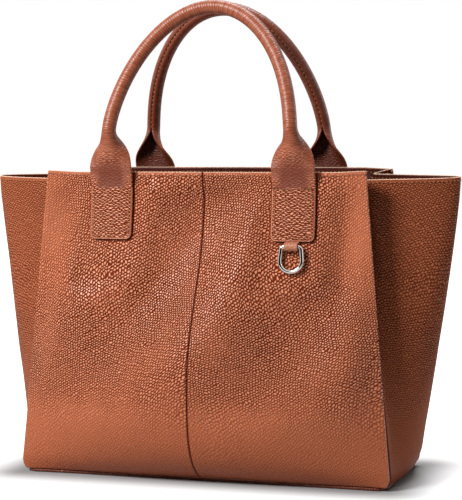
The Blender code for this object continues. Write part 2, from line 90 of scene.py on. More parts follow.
# Folds and slack of the leather. A fold's phase is in radians, its waves in radians a metre
FOLD_DEPTH = 0.0062
FOLD_BIAS = 0.12
FOLD_REACH = 0.1
FOLD_FOOT = 0.04
FOLD_RISE = 0.07
FOLD_PHASE = {-1: 4.2, 1: 6.1}
FOLD_ACROSS = 42.7
FOLD_UP = -25.4
PANEL_SLACK = 0.0006
WING_SLACK = 0.0012
RIM_SAG = 0.0012
RIM_SAG_POWER = 14
SIDE_FADE = 0.03
RIM_FADE = 0.022
FOOT_FADE = 0.03
TAB_FADE = 0.024
RING_FOOT = 0.174
WAVE_WIDTH = 0.06
WAVE_HEIGHT = 0.075

# Wings
WING_REACH = 0.2125
WING_FOOT_REACH = 0.1740
WING_SPREAD_POWER = 1.3
WING_TUCK = 0.0105
WING_TUCK_HEIGHT = 0.030
WING_DROP = 0.0055
WING_SAG = 0.0032
WING_RISE = 0.6
WING_DROP_POWER = 4
VALLEY_INSET = 0.015
VALLEY_DEPTH = 0.012
FOOT_STEP_OUT = 0.0012
FOOT_STEP_BACK = 0.009
TIP_HANDLE_TOP = 0.013
TIP_HANDLE_FOOT = 0.025
FLANK_SHARE = 0.35
FLANK_CROWN = 0.003
PRESSED_SHARE = 0.2
SEWN_COLUMNS = 5

# Base
BASE_LEATHER = 0.0024
BASE_HALF_LENGTH = 0.1625
BASE_CORNER_RADIUS = 0.010
BOARD_THICKNESS = 0.002
BOARD_MARGIN = 0.008

# Handles and their tabs
TAB_WIDTH = 0.038
TAB_THICKNESS = 0.003
TAB_CORNER_RADIUS = 0.005
TAB_GAP = 0.00035
TAB_TOP = 0.2505
TAB_BOTTOM = 0.206
TAB_PUFF = 0.0004
PUFF_START = 0.0035
PUFF_SPAN = 0.004
STRAP_EDGE = 0.0013
STRAP_THINNING = 0.016
LIP_HEIGHT = 0.0004
LIP_RISE = 0.0012
LIP_WIDTH = 0.004
LIP_FALL = 0.0025
HANDLE_SPREAD = 0.163
HANDLE_LEATHER = 0.002
TUBE_RADIUS = 0.006
TUBE_SLIT = 0.0004
HINGE_GAP = 0.0003
WRAP_START = 0.2665
WRAP_END = 0.300
SPRING_HEIGHT = 0.285
APEX_HEIGHT = 0.4055
LEG_PULL = 0.065
CROWN_PULL = 0.043
FLARES = {-1: 0.013, 1: -0.002}
HANDLE_LEAN = 0.45
LEAN_EASE = 0.015

# Ring and keeper
RING_X = 0.0815
RING_WIRE = 0.0038
RING_BAR = 0.0058
RING_HEIGHT = 0.025
RING_CORNER = 0.003
RING_LEAN = 0.14995
RING_LEG_SLOPE = radians(6)
EYE = Vector((RING_X, -0.0629538, 0.2019))
EYE_RADIUS = 0.0022
KEEPER_PLY = 0.0014
KEEPER_WIDTH = 0.012
KEEPER_FLANGE = 0.0016
KEEPER_TAIL_TOP = 0.215
KEEPER_SLOPE = 0.1644
KEEPER_TURN = 1.62 * pi
KEEPER_TURN_STEPS = 28
KEEPER_ROUND = 0.0006
HOLLOW_GAP = 0.0003
HOLLOW_HALF_WIDTH = 0.0085
HOLLOW_EDGE = 0.0015
HOLLOW_HEADROOM = 0.002

# Seams. The sewn row of a net is counted from its rim
RIM_ROW = 0.0033
SEWN_ROW = 7
TAB_ROW = 0.0030
TOP_ROW_HEIGHT = 0.2498
STITCH_SHARE = 0.74
ROW_MARGIN = 0.003
WING_ROW_MARGIN = 0.004
BOX_MARGIN = 0.002
HANDLE_PITCH = 0.0042
HANDLE_STITCH = 0.0032
HANDLE_THREAD = 0.0003
HANDLE_ROW_FOOT = 0.296
HANDLE_ROW_MARGIN = 0.004
HANDLE_SEAM_GAP = 0.004

# Rounded edges of the panels
SEAM_ROUND = 0.0010
SIDE_ROUND = 0.0009
RIM_ROUND = 0.0016
INNER_ROUND = 0.0005
RIM_ZONE = 0.003
RIM_ROLL = 0.0015
RIM_ROLL_FOOT = 0.0035

# Points of the nets. Near an edge they lie at these distances from it
PANEL_COLUMNS = 56
LAYER_COLUMNS = 72
STRAP_COLUMNS = 28
BASE_ROWS = 80
BASE_COLUMNS = 36
BELLY_ROWS = 26
ROW_PITCH = 0.003
WING_ROW_PITCH = 0.0031
NEAR_EDGE = (0.0, 0.06, 0.25, 0.6, 1.1)
NEAR_RIM = 0.0075
PANEL_RIM_ROWS = (0.0055, 0.0042, 0.0033, 0.0024, 0.0017, 0.0011, 0.0005, 0.00015, 0)
WING_RIM_ROWS = (0.0055, 0.0042, 0.0033, 0.0024, 0.0016, 0.001, 0.0005, 0.00015, 0)
WING_FOOT_ROWS = (0, 0.0001, 0.0004, 0.0009, 0.0018)
FACING_FOOT_ROWS = (0, 0.0001, 0.0003, 0.0006, 0.0012)
FACING_RIM_ROWS = (0.0045, 0.0033, 0.0024, 0.0015, 0.0008, 0.0003, 0.0001, 0)
TAB_FOOT_ROWS = (0, 0.00008, 0.0003, 0.0007, 0.0013, 0.002)
FOLD_SHARES = (0, 0.005, 0.02, 0.045, 0.09, 0.2, 0.34, 0.48, 0.62, 0.75, 0.87)
FLANK_STEPS = 30
LEG_STEPS = 30
ARCH_STEPS = 80

# Finishes: a pebble's slant on the panels, and what a finish keeps of the leather's color. The
# pebble tops' tint is painted highlight, the wing, facing, base, bend and tube tints are painted
# shade, and the keeper's and underside's tints are their own color
GRAIN_SLANT = radians(38)
RIB_PITCH = 0.0021
HIGHLIGHT_TINT = (1.35, 1.95, 2.7)
WING_SHADE_TINT = (0.71, 0.66, 0.62)
FACING_SHADE_TINT = (0.13, 0.07, 0.06)
BASE_SHADE_TINT = (0.30, 0.22, 0.20)
KEEPER_TINT = (1.05, 1.45, 1.9)
BEND_SHADE_TINT = (0.24, 0.15, 0.12)
TUBE_SHADE_TINT = (0.30, 0.20, 0.16)
UNDERSIDE_TINT = (0.11, 0.07, 0.05)
FELT_COLOR = (0.55, 0.50, 0.42)
BOARD_COLOR = (0.25, 0.24, 0.22)
CORD_COLOR = (0.70, 0.66, 0.58)

# Studio: each softbox has a place, a target, a size and a power in watts
SOFTBOXES = {
    "key_softbox": ((-0.88, -1.35, 1.35), (0, 0, 0.15), (0.6, 0.6), 53),
    "top_softbox": ((0.1, 0.5, 1.6), (0, 0, 0.3), (1.2, 0.5), 22),
    "edge_softbox": ((1.4, 1.2, 0.6), (0.1, 0, 0.2), (0.4, 0.9), 6),
}
FLOOR_LEVEL = -0.0004
FLAG_PLACE = (0, -2.6, 1.2)
FLAG_SCALE = (6, 2.6, 1)
CAMERA_PLACE = (0.483, -1.486, 0.2956)
CAMERA_YAW = 0.309
CAMERA_PITCH = 0.065
CAMERA_ROLL = -0.004
CAMERA_LENS = 127.84

SIDES = (("front", -1), ("back", 1))
HANDS = (("left", -1), ("right", 1))


# Forms of the bag


def lerp(low, high, share):
    return low + (high - low) * share


def clamp(value, low=0.0, high=1.0):
    return min(max(value, low), high)


def ease(share):
    share = clamp(share)
    return share * share * (3 - 2 * share)


def bezier(points, share):
    """A point on a cubic curve with four control points."""
    rest = 1 - share
    weights = (rest**3, 3 * rest * rest * share, 3 * rest * share * share, share**3)
    return tuple(sum(w * p[k] for w, p in zip(weights, points)) for k in range(len(points[0])))


def corner_depth(z):
    return lerp(BASE_DEPTH, TOP_DEPTH, z / BODY_HEIGHT) / 2


def panel_half_width(z):
    short = max(LOWER_CORNER_RADIUS - z, 0)
    drop = LOWER_CORNER_RADIUS - sqrt(LOWER_CORNER_RADIUS**2 - short**2)
    return lerp(BASE_WIDTH, TOP_WIDTH, z / BODY_HEIGHT) / 2 - drop


def swell(z):
    """How far the middle of a panel stands out, fullest low down and tucked in at the foot."""
    if z < BELLY_HEIGHT:
        rise = 1 - z / BELLY_HEIGHT
        return (BELLY + TUCK) * sqrt(max(1 - rise * rise, 0)) - TUCK
    return BELLY * ease((SWELL_TOP - z) / (SWELL_TOP - BELLY_HEIGHT))


def panel_depth(x, z):
    share = min(abs(x) / panel_half_width(z), 1)
    return corner_depth(z) + swell(z) * (1 - share**SWELL_POWER)


def wing_reach(z):
    spread = 1 - (1 - z / BODY_HEIGHT) ** WING_SPREAD_POWER
    short = max(1 - z / WING_TUCK_HEIGHT, 0)
    return lerp(WING_FOOT_REACH, WING_REACH, spread) - WING_TUCK * short * short


def strip_depth(z, side):
    """Distance of a handle strip's outer middle line from the middle plane of the bag."""
    face = corner_depth(TAB_TOP) + TAB_GAP + TAB_THICKNESS
    out = FLARES[side] * ease((z - TAB_TOP) / (WRAP_END - TAB_TOP))
    above = max(z - WRAP_END, 0)
    return face + out - HANDLE_LEAN * above * above / (above + LEAN_EASE)


def fold(x, z, side):
    """Soft slanting folds across a panel, deepest high up on the side of the ring."""
    bias = 1 + FOLD_BIAS * clamp(x / FOLD_REACH, -1, 1)
    height = FOLD_DEPTH * bias * ease((z - FOLD_FOOT) / FOLD_RISE)
    return height * sin(FOLD_PHASE[side] + FOLD_ACROSS * x + FOLD_UP * z)


def soft_wave(x, z, seed):
    """Slow unevenness of soft leather, about -1 to 1."""
    spot = Vector((x / WAVE_WIDTH, z / WAVE_HEIGHT, seed))
    return noise.noise(spot) + 0.45 * noise.noise(spot * 2.3)


def round_off(distance, radius):
    """How far a rounded edge lies under the face at a distance from the edge."""
    short = clamp(radius - distance, 0, radius)
    return radius - sqrt(max(radius * radius - short * short, 0))


def spread(length, count, nook):
    """Stations from 0 to length, closer at both ends where an edge rounds off."""
    near = [share * nook for share in NEAR_EDGE]
    inner = [lerp(near[-1], length - near[-1], step / count) for step in range(1, count)]
    return near + inner + [length - d for d in reversed(near)]


def panel_heights(foot=PANEL_FOOT, top=BODY_HEIGHT):
    """Levels of a panel's rows, closest at its foot and rim."""
    start = acos(1 - foot / BELLY_HEIGHT)
    turns = [0, 0.002, 0.008, 0.018]
    turns += [lerp(0.03, pi / 2 - start, i / BELLY_ROWS) for i in range(BELLY_ROWS + 1)]
    levels = [BELLY_HEIGHT * (1 - cos(start + turn)) for turn in turns]
    last = top - NEAR_RIM
    count = max(int((last - BELLY_HEIGHT) / ROW_PITCH), 1)
    levels += [lerp(BELLY_HEIGHT, last, step / count) for step in range(1, count + 1)]
    return levels + [top - d for d in PANEL_RIM_ROWS]


def calm(x, z):
    """0 where a panel has to stay where its solid is, 1 where it may wave."""
    side = ease((panel_half_width(z) - abs(x)) / SIDE_FADE)
    ends = ease((BODY_HEIGHT - 0.003 - z) / RIM_FADE) * ease((z - 0.004) / FOOT_FADE)
    beside = max(abs(abs(x) - HANDLE_SPREAD / 2) - TAB_WIDTH / 2, 0)
    under = max(RING_FOOT - z, 0)
    return side * ends * ease(hypot(beside, under) / TAB_FADE)


def draped(x, z, side):
    """A point of a panel's face, with its folds, its front rim sunk and its back rim raised."""
    slack = fold(x, z, side) + PANEL_SLACK * soft_wave(x, z, 3.1 * side)
    depth = panel_depth(x, z) + calm(x, z) * slack
    inward = ease((panel_half_width(z) - abs(x)) / SIDE_FADE)
    level = z + side * RIM_SAG * inward * (z / BODY_HEIGHT) ** RIM_SAG_POWER
    return Vector((x, side * depth, level))


def panel_net(side, hand):
    """Points on one sewn half of a panel, from the seam to its side."""
    net = []
    for z in panel_heights():
        across = spread(panel_half_width(z) - SEAM_GAP / 2, PANEL_COLUMNS, 0.0016)
        net.append([draped(hand * (SEAM_GAP / 2 + d), z, side) for d in across])
    return net


def inner_net(side, foot, top):
    """Points across a whole panel, short of its side seams, for the layers inside it."""
    net = []
    for z in panel_heights(foot, top) if foot < BELLY_HEIGHT else facing_heights(foot, top):
        half = panel_half_width(z) - LAYER_MARGIN
        net.append([draped(d - half, z, side) for d in spread(2 * half, LAYER_COLUMNS, 0.0006)])
    return net


def facing_heights(foot, top):
    low = [foot + d for d in FACING_FOOT_ROWS]
    high = [top - d for d in FACING_RIM_ROWS]
    return low + [lerp(low[-1], high[0], step / 10) for step in range(1, 10)] + high


def gusset_plan(z):
    """Plan of the right gusset at a level, from its front seam round the tip to the back: x, y
    and how much of the wing's drop a point takes."""
    fold = ease(z / BODY_HEIGHT)
    lift = LEATHER * fold * VALLEY_INSET / hypot(VALLEY_INSET, VALLEY_DEPTH)
    seam = (panel_half_width(z) - EDGE_MARGIN, -(corner_depth(z) - LINING_BEHIND - lift))
    valley = (
        seam[0] + lerp(FOOT_STEP_OUT, -VALLEY_INSET, fold),
        seam[1] + lerp(FOOT_STEP_BACK, VALLEY_DEPTH, fold),
    )
    tip = (wing_reach(z), 0.0)
    leave = (
        lerp(valley[0], tip[0], FLANK_SHARE),
        lerp(valley[1], tip[1], FLANK_SHARE) - FLANK_CROWN,
    )
    arrive = (tip[0], -lerp(TIP_HANDLE_FOOT, TIP_HANDLE_TOP, fold))
    half = []
    for share in FOLD_SHARES:
        # the sewn margin lies flat against the panel before the gusset turns away
        pressed = (LAYER_GAP + lift - 0.0001) * ease(1 - share / PRESSED_SHARE)
        x, y = (lerp(a, b, share) for a, b in zip(seam, valley))
        half.append((x, y - pressed, share))
    for step in range(FLANK_STEPS + 1):
        share = 1 - (1 - step / FLANK_STEPS) ** 1.5
        half.append((*bezier((valley, leave, arrive, tip), share), 1.0))
    # the fold in the valley is rounded off by averaging
    for _ in range(3):
        half = half[:5] + [
            tuple((a + 2 * b + c) / 4 for a, b, c in zip(half[i - 1], half[i], half[i + 1]))
            for i in range(5, 20)
        ] + half[20:]
    return half + [(x, -y, drop) for x, y, drop in reversed(half[:-1])]


def gusset_heights(foot, top):
    near = [foot + d for d in WING_FOOT_ROWS]
    last = top - NEAR_RIM
    count = max(int((last - near[-1]) / WING_ROW_PITCH), 1)
    levels = near + [lerp(near[-1], last, step / count) for step in range(1, count + 1)]
    return levels + [top - d for d in WING_RIM_ROWS]


def gusset_net(hand, foot=PANEL_FOOT, top=BODY_HEIGHT, skip=0):
    """Points on a gusset, short of its seams by a number of columns for the layers inside it."""
    net = []
    for z in gusset_heights(foot, top):
        line = []
        plan = gusset_plan(z)
        for index, (x, y, drop) in enumerate(plan):
            flank = min(index, len(plan) - 1 - index)
            sag = WING_SAG * (1 - flank / (len(plan) // 2)) * (1 if y < 0 else -WING_RISE)
            high = (z / BODY_HEIGHT) ** WING_DROP_POWER
            level = z - (WING_DROP + sag) * clamp(drop) * high
            slack = ease((flank - 10) / 10) * ease(z / 0.05) * ease((BODY_HEIGHT - z) / 0.05)
            wave = WING_SLACK * slack * soft_wave(y, z, 7.7 * hand)
            line.append(Vector((hand * (x + wave * 0.5), y + wave * (1 if y > 0 else -1), level)))
        net.append(line[skip : len(line) - skip])
    return net


def arch_points(side):
    """The outer middle line of a handle, from the left tab's top over to the right one's."""
    half = HANDLE_SPREAD / 2
    foot = TAB_TOP + HINGE_GAP
    line = [(half, lerp(foot, SPRING_HEIGHT, step / LEG_STEPS)) for step in range(LEG_STEPS)]
    ends = (
        (half, SPRING_HEIGHT),
        (half, SPRING_HEIGHT + LEG_PULL),
        (CROWN_PULL, APEX_HEIGHT),
        (0.0, APEX_HEIGHT),
    )
    line += [bezier(ends, step / ARCH_STEPS) for step in range(ARCH_STEPS + 1)]
    right = [Vector((x, side * strip_depth(z, side), z)) for x, z in line]
    return [Vector((-p.x, p.y, p.z)) for p in right] + right[-2::-1]


# Nets made into meshes


def net_normals(net, flip):
    """Unit normals of a net, to the side where its rows and columns turn left."""
    rows, columns = len(net), len(net[0])
    sign = -1 if flip else 1
    normals = []
    for i in range(rows):
        line = []
        for j in range(columns):
            along = net[i][min(j + 1, columns - 1)] - net[i][max(j - 1, 0)]
            up = net[min(i + 1, rows - 1)][j] - net[max(i - 1, 0)][j]
            line.append(along.cross(up).normalized() * sign)
        normals.append(line)
    return normals


def net_reach(net):
    """Lengths along the rows from the middle column, and along the columns from the last row."""
    rows, columns = len(net), len(net[0])
    across = []
    for line in net:
        reach = [0.0]
        for a, b in zip(line, line[1:]):
            reach.append(reach[-1] + (b - a).length)
        middle = reach[columns // 2]
        across.append([r - middle for r in reach])
    down = [[0.0] * columns for _ in range(rows)]
    for i in range(rows - 2, -1, -1):
        for j in range(columns):
            down[i][j] = down[i + 1][j] - (net[i + 1][j] - net[i][j]).length
    return across, down


def add_piece(name, mesh, finish):
    obj = bpy.data.objects.new(name, mesh)
    bpy.context.scene.collection.objects.link(obj)
    obj.data.materials.append(finish)
    return obj


def shell(name, outer, inner, skin, edge, flip, finish):
    """A closed sheet between two nets of points, with two UV maps in metres: skin runs along
    the leather, and edge holds distances from the edges, the first one negative inside."""
    rows, columns = len(outer), len(outer[0])
    count = rows * columns
    verts = [p for line in outer for p in line] + [p for line in inner for p in line]
    faces = []
    for i in range(rows - 1):
        for j in range(columns - 1):
            a = i * columns + j
            quad = (a, a + 1, a + columns + 1, a + columns)
            faces.append(quad[::-1] if flip else quad)
            back = tuple(v + count for v in quad)
            faces.append(back if flip else back[::-1])
    ring = list(range(columns))
    ring += [i * columns + columns - 1 for i in range(1, rows)]
    ring += [(rows - 1) * columns + j for j in range(columns - 2, -1, -1)]
    ring += [i * columns for i in range(rows - 2, 0, -1)]
    for a, b in zip(ring, ring[1:] + ring[:1]):
        quad = (a + count, b + count, b, a)
        faces.append(quad[::-1] if flip else quad)
    mesh = bpy.data.meshes.new(name)
    mesh.from_pydata(verts, [], faces)
    flat = [value for line in skin for value in line] * 2
    rim = [value for line in edge for value in line]
    rim += [(-near, other) for near, other in rim]
    for label, values in (("skin", flat), ("edge", rim)):
        layer = mesh.uv_layers.new(name=label)
        pairs = [0.0] * (2 * len(mesh.loops))
        for index, loop in enumerate(mesh.loops):
            pairs[2 * index], pairs[2 * index + 1] = values[loop.vertex_index]
        layer.uv.foreach_set("vector", pairs)
    mesh.shade_smooth()
    mesh.update()
    return add_piece(name, mesh, finish)


def keep_apart(line, points):
    """Where a folded sheet's inner face would cross the middle plane, close it evenly."""
    last = len(points) - 1
    stop = next((k for k in range(last // 2) if line[k].y * points[k + 1].y < 0), last // 2)
    if stop < last // 2:
        low, high = points[stop], points[last - stop]
        for k in range(stop + 1, last - stop):
            points[k] = low.lerp(high, (k - stop) / (last - 2 * stop))
    return points


def sheet(
    node,
    word,
    net,
    flip,
    finish,
    slot,
    thickness,
    behind=0.0,
    radius=None,
    sinks=None,
    folded=False,
    hand=1,
):
    """A sheet of even thickness behind a net, with rounded edges, in place of a node's solid.
    sinks(i, j, side, end) gives how far its outer and its inner face lie within that thickness,
    at a row, a column and the distances from a side and from an end. A folded one has its two
    halves on either side of the middle plane."""
    normals = net_normals(net, flip)
    across, down = net_reach(net)
    radius = 0.45 * thickness if radius is None else radius
    outer, inner, skin, edge = [], [], [], []
    for i, line in enumerate(net):
        outer.append([])
        inner.append([])
        skin.append([])
        edge.append([])
        for j, point in enumerate(line):
            side = min(across[i][j] - across[i][0], across[i][-1] - across[i][j])
            end = min(-down[i][j], down[i][j] - down[0][j])
            drop = round_off(min(side, end), radius)
            face, back = (drop, drop) if sinks is None else sinks(i, j, side, end)
            outer[-1].append(point - normals[i][j] * (behind + face))
            inner[-1].append(point - normals[i][j] * (behind + thickness - back))
            skin[-1].append((hand * across[i][j], down[i][j]))
            edge[-1].append((side, -down[i][j]))
        if folded:
            keep_apart(line, outer[-1])
            keep_apart(line, inner[-1])
    obj = shell(f"{node}_{word}", outer, inner, skin, edge, flip, finish)
    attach(obj, "bag")
    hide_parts(node)
    return obj


def flat_area(net):
    """Area of a net's surface."""
    total = 0.0
    for low, high in zip(net, net[1:]):
        for a, b, c, d in zip(low, low[1:], high[1:], high):
            total += ((b - a).cross(c - a).length + (c - a).cross(d - a).length) / 2
    return total


def declare_cloth(net):
    """Work out the size and area a cloth piece was cut to; nothing is done with them."""
    across, down = net_reach(net)
    width = max(line[-1] - line[0] for line in across)
    length = -min(down[0])
    area = flat_area(net)
    max(length, area / width)


# Stitches


def resample(path, pitch, start=0.0):
    """Points, tangents and normals at even steps along a path of (point, normal)."""
    total = sum((b[0] - a[0]).length for a, b in zip(path, path[1:]))
    count = max(int((total - 2 * start) / pitch), 1)
    step = (total - 2 * start) / count
    wanted = [start + step * (index + 0.5) for index in range(count)]
    found, reach = [], 0.0
    for (a, na), (b, nb) in zip(path, path[1:]):
        length = (b - a).length
        while wanted and wanted[0] <= reach + length and length > 0:
            share = (wanted.pop(0) - reach) / length
            found.append((a.lerp(b, share), (b - a).normalized(), na.lerp(nb, share).normalized()))
        reach += length
    return found


def stitch_mesh(name, stations, length, radius, finish, body="bag"):
    """Thread along a row: each stitch is a short bent capsule whose ends dip into the leather."""
    rings, sides = 5, 6
    verts, faces = [], []
    for point, tangent, normal in stations:
        across = normal.cross(tangent).normalized()
        normal = tangent.cross(across).normalized()
        base = len(verts)
        for ring in range(rings + 1):
            share = ring / rings
            along = (share - 0.5) * length
            thick = radius * (0.55 if ring in (0, rings) else 1.0)
            lift = radius * (1.15 - 2.9 * (2 * share - 1) ** 4)
            for step in range(sides):
                turn = 2 * pi * step / sides
                verts.append(
                    point
                    + tangent * along
                    + normal * (lift + thick * sin(turn))
                    + across * (thick * cos(turn))
                )
        for ring in range(rings):
            for step in range(sides):
                a = base + ring * sides + step
                b = base + ring * sides + (step + 1) % sides
                faces.append((a, b, b + sides, a + sides))
        faces.append(tuple(base + step for step in reversed(range(sides))))
        faces.append(tuple(base + rings * sides + step for step in range(sides)))
    mesh = bpy.data.meshes.new(name)
    mesh.from_pydata(verts, [], faces)
    mesh.shade_smooth()
    mesh.update()
    obj = add_piece(name, mesh, finish)
    turn_out(obj)
    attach(obj, body)
    return obj


def turn_out(obj):
    """Point the faces of a piece outwards."""
    bm = bmesh.new()
    bm.from_mesh(obj.data)
    bmesh.ops.recalc_face_normals(bm, faces=bm.faces[:])
    bm.to_mesh(obj.data)
    bm.free()


# Shaders


class Signal:
    """A shader socket used in sums; each operator adds one Math node."""

    def __init__(self, shader, socket):
        self.shader, self.socket = shader, socket

    def _math(self, operation, *values):
        inputs = dict(enumerate(values))
        return self.shader.node("Math", {"operation": operation}, inputs)

    def __add__(self, other):
        return self._math("ADD", self, other)

    def __sub__(self, other):
        return self._math("SUBTRACT", self, other)

    def __rsub__(self, other):
        return self._math("SUBTRACT", other, self)

    def __mul__(self, other):
        return self._math("MULTIPLY", self, other)

    def __truediv__(self, other):
        return self._math("DIVIDE", self, other)

    def __pow__(self, other):
        return self._math("POWER", self, other)

    def __abs__(self):
        return self._math("ABSOLUTE", self)

    __radd__ = __add__
    __rmul__ = __mul__

    def most(self, other):
        return self._math("MAXIMUM", self, other)

    def sine(self):
        return self._math("SINE", self)

    def step(self, low, high):
        """0 at low and 1 at high, smooth between; low may be the larger."""
        ends = (low, high, 0.0, 1.0) if low < high else (high, low, 1.0, 0.0)
        settings = {"interpolation_type": "SMOOTHSTEP"}
        return self.shader.node("MapRange", settings, dict(enumerate((self, *ends))))


class Shader:
    """Builds one material or world from nodes."""

    def __init__(self, name, owner=None):
        self.owner = owner or bpy.data.materials.new(name)
        self.owner.use_nodes = True
        self.tree = self.owner.node_tree
        self.tree.nodes.clear()

    def node(self, kind, settings=None, inputs=None, out=0):
        made = self.tree.nodes.new("ShaderNode" + kind)
        for key, value in (settings or {}).items():
            setattr(made, key, value)
        for key, value in (inputs or {}).items():
            socket = made.inputs[key]
            if isinstance(value, Signal):
                self.tree.links.new(value.socket, socket)
            else:
                socket.default_value = (*value, 1) if socket.type == "RGBA" else value
        return Signal(self, made.outputs[out]) if made.outputs else None

    def uv(self, name):
        return self.node("UVMap", {"uv_map": name})

    def place(self):
        return self.node("TexCoord", out="Object")

    def parts(self, vector):
        return [self.node("SeparateXYZ", inputs={0: vector}, out=axis) for axis in range(3)]

    def mix(self, share, a, b):
        settings = {"data_type": "RGBA", "clamp_factor": True}
        return self.node("Mix", settings, {0: share, 6: a, 7: b}, out=2)

    def turn(self, vector, angle=0.0, stretch=(1, 1, 1), move=(0, 0, 0)):
        """Coordinates in which a pattern is turned by an angle and stretched along its own axes."""
        inputs = {0: vector, "Rotation": (0, 0, angle), "Scale": stretch, "Location": move}
        return self.node("Mapping", {"vector_type": "TEXTURE"}, inputs)

    def noise(self, vector, scale, detail=2.0, roughness=0.5, out=0, dims="3D"):
        return self.node(
            "TexNoise",
            {"noise_dimensions": dims},
            {"Vector": vector, "Scale": scale, "Detail": detail, "Roughness": roughness},
            out,
        )

    def cells(self, vector, scale):
        return self.node("TexVoronoi", inputs={"Vector": vector, "Scale": scale})

    def bump(self, height):
        """The normal of a surface with a height in metres."""
        return self.node("Bump", inputs={"Height": height, "Distance": 1.0, "Strength": 1.0})

    def coat(self, **inputs):
        names = {key.replace("_", " "): value for key, value in inputs.items()}
        return self.node("BsdfPrincipled", inputs=names)

    def surface(self, **inputs):
        self.node("OutputMaterial", inputs={0: self.coat(**inputs)})
        return self.owner

    def pitted(self, share, pit, normal, **inputs):
        """A surface that shines on its tops, and is dull and dark in its pits; the pits' dark color
        is partly the grain's own tone and partly painted shade.
        """
        low = self.coat(Base_Color=pit, Roughness=0.9, Specular_IOR_Level=0.0, Normal=normal)
        high = self.coat(Normal=normal, **inputs)
        both = self.node("MixShader", inputs={0: share, 1: low, 2: high})
        self.node("OutputMaterial", inputs={0: both})
        return self.owner


def tinted(color, tint):
    """A color with its channels multiplied, by one number or by one each."""
    tint = (tint,) * 3 if isinstance(tint, float) else tint
    return tuple(min(c * k, 1) for c, k in zip(color, tint))


def pebbles(shader, skin, size, seed=0.0, slant=GRAIN_SLANT, long=1.15, stir=0.5):
    """Rounded leather pebbles in wandering rows: 1 on a pebble's top, 0 in a pit."""
    wander = skin
    drifts = ((9.0, 0.026), (48.0, 0.0019), (170.0, 0.0040 * stir), (430.0, 0.0022 * stir))
    for scale, amount in drifts:
        drift = shader.noise(skin, scale, 0.0, out="Color", dims="2D")
        drift = shader.node("VectorMath", {"operation": "SUBTRACT"}, {0: drift, 1: (0.5, 0.5, 0.5)})
        drift = shader.node("VectorMath", {"operation": "SCALE"}, {0: drift, "Scale": amount})
        wander = shader.node("VectorMath", {"operation": "ADD"}, {0: wander, 1: drift})
    x, y, _ = shader.parts(shader.turn(wander, slant, (long, 1, 1), (seed, seed * 0.7, 0)))
    rows = [
        (x * (cos(turn) * 2 * pi / size) + y * (sin(turn) * 2 * pi / size) + pi / 2).sine()
        for turn in (radians(90), radians(-30), radians(210))
    ]
    return ((rows[0] * 1.5 + rows[1] + rows[2]) / 3.5).step(-0.5, 0.5)


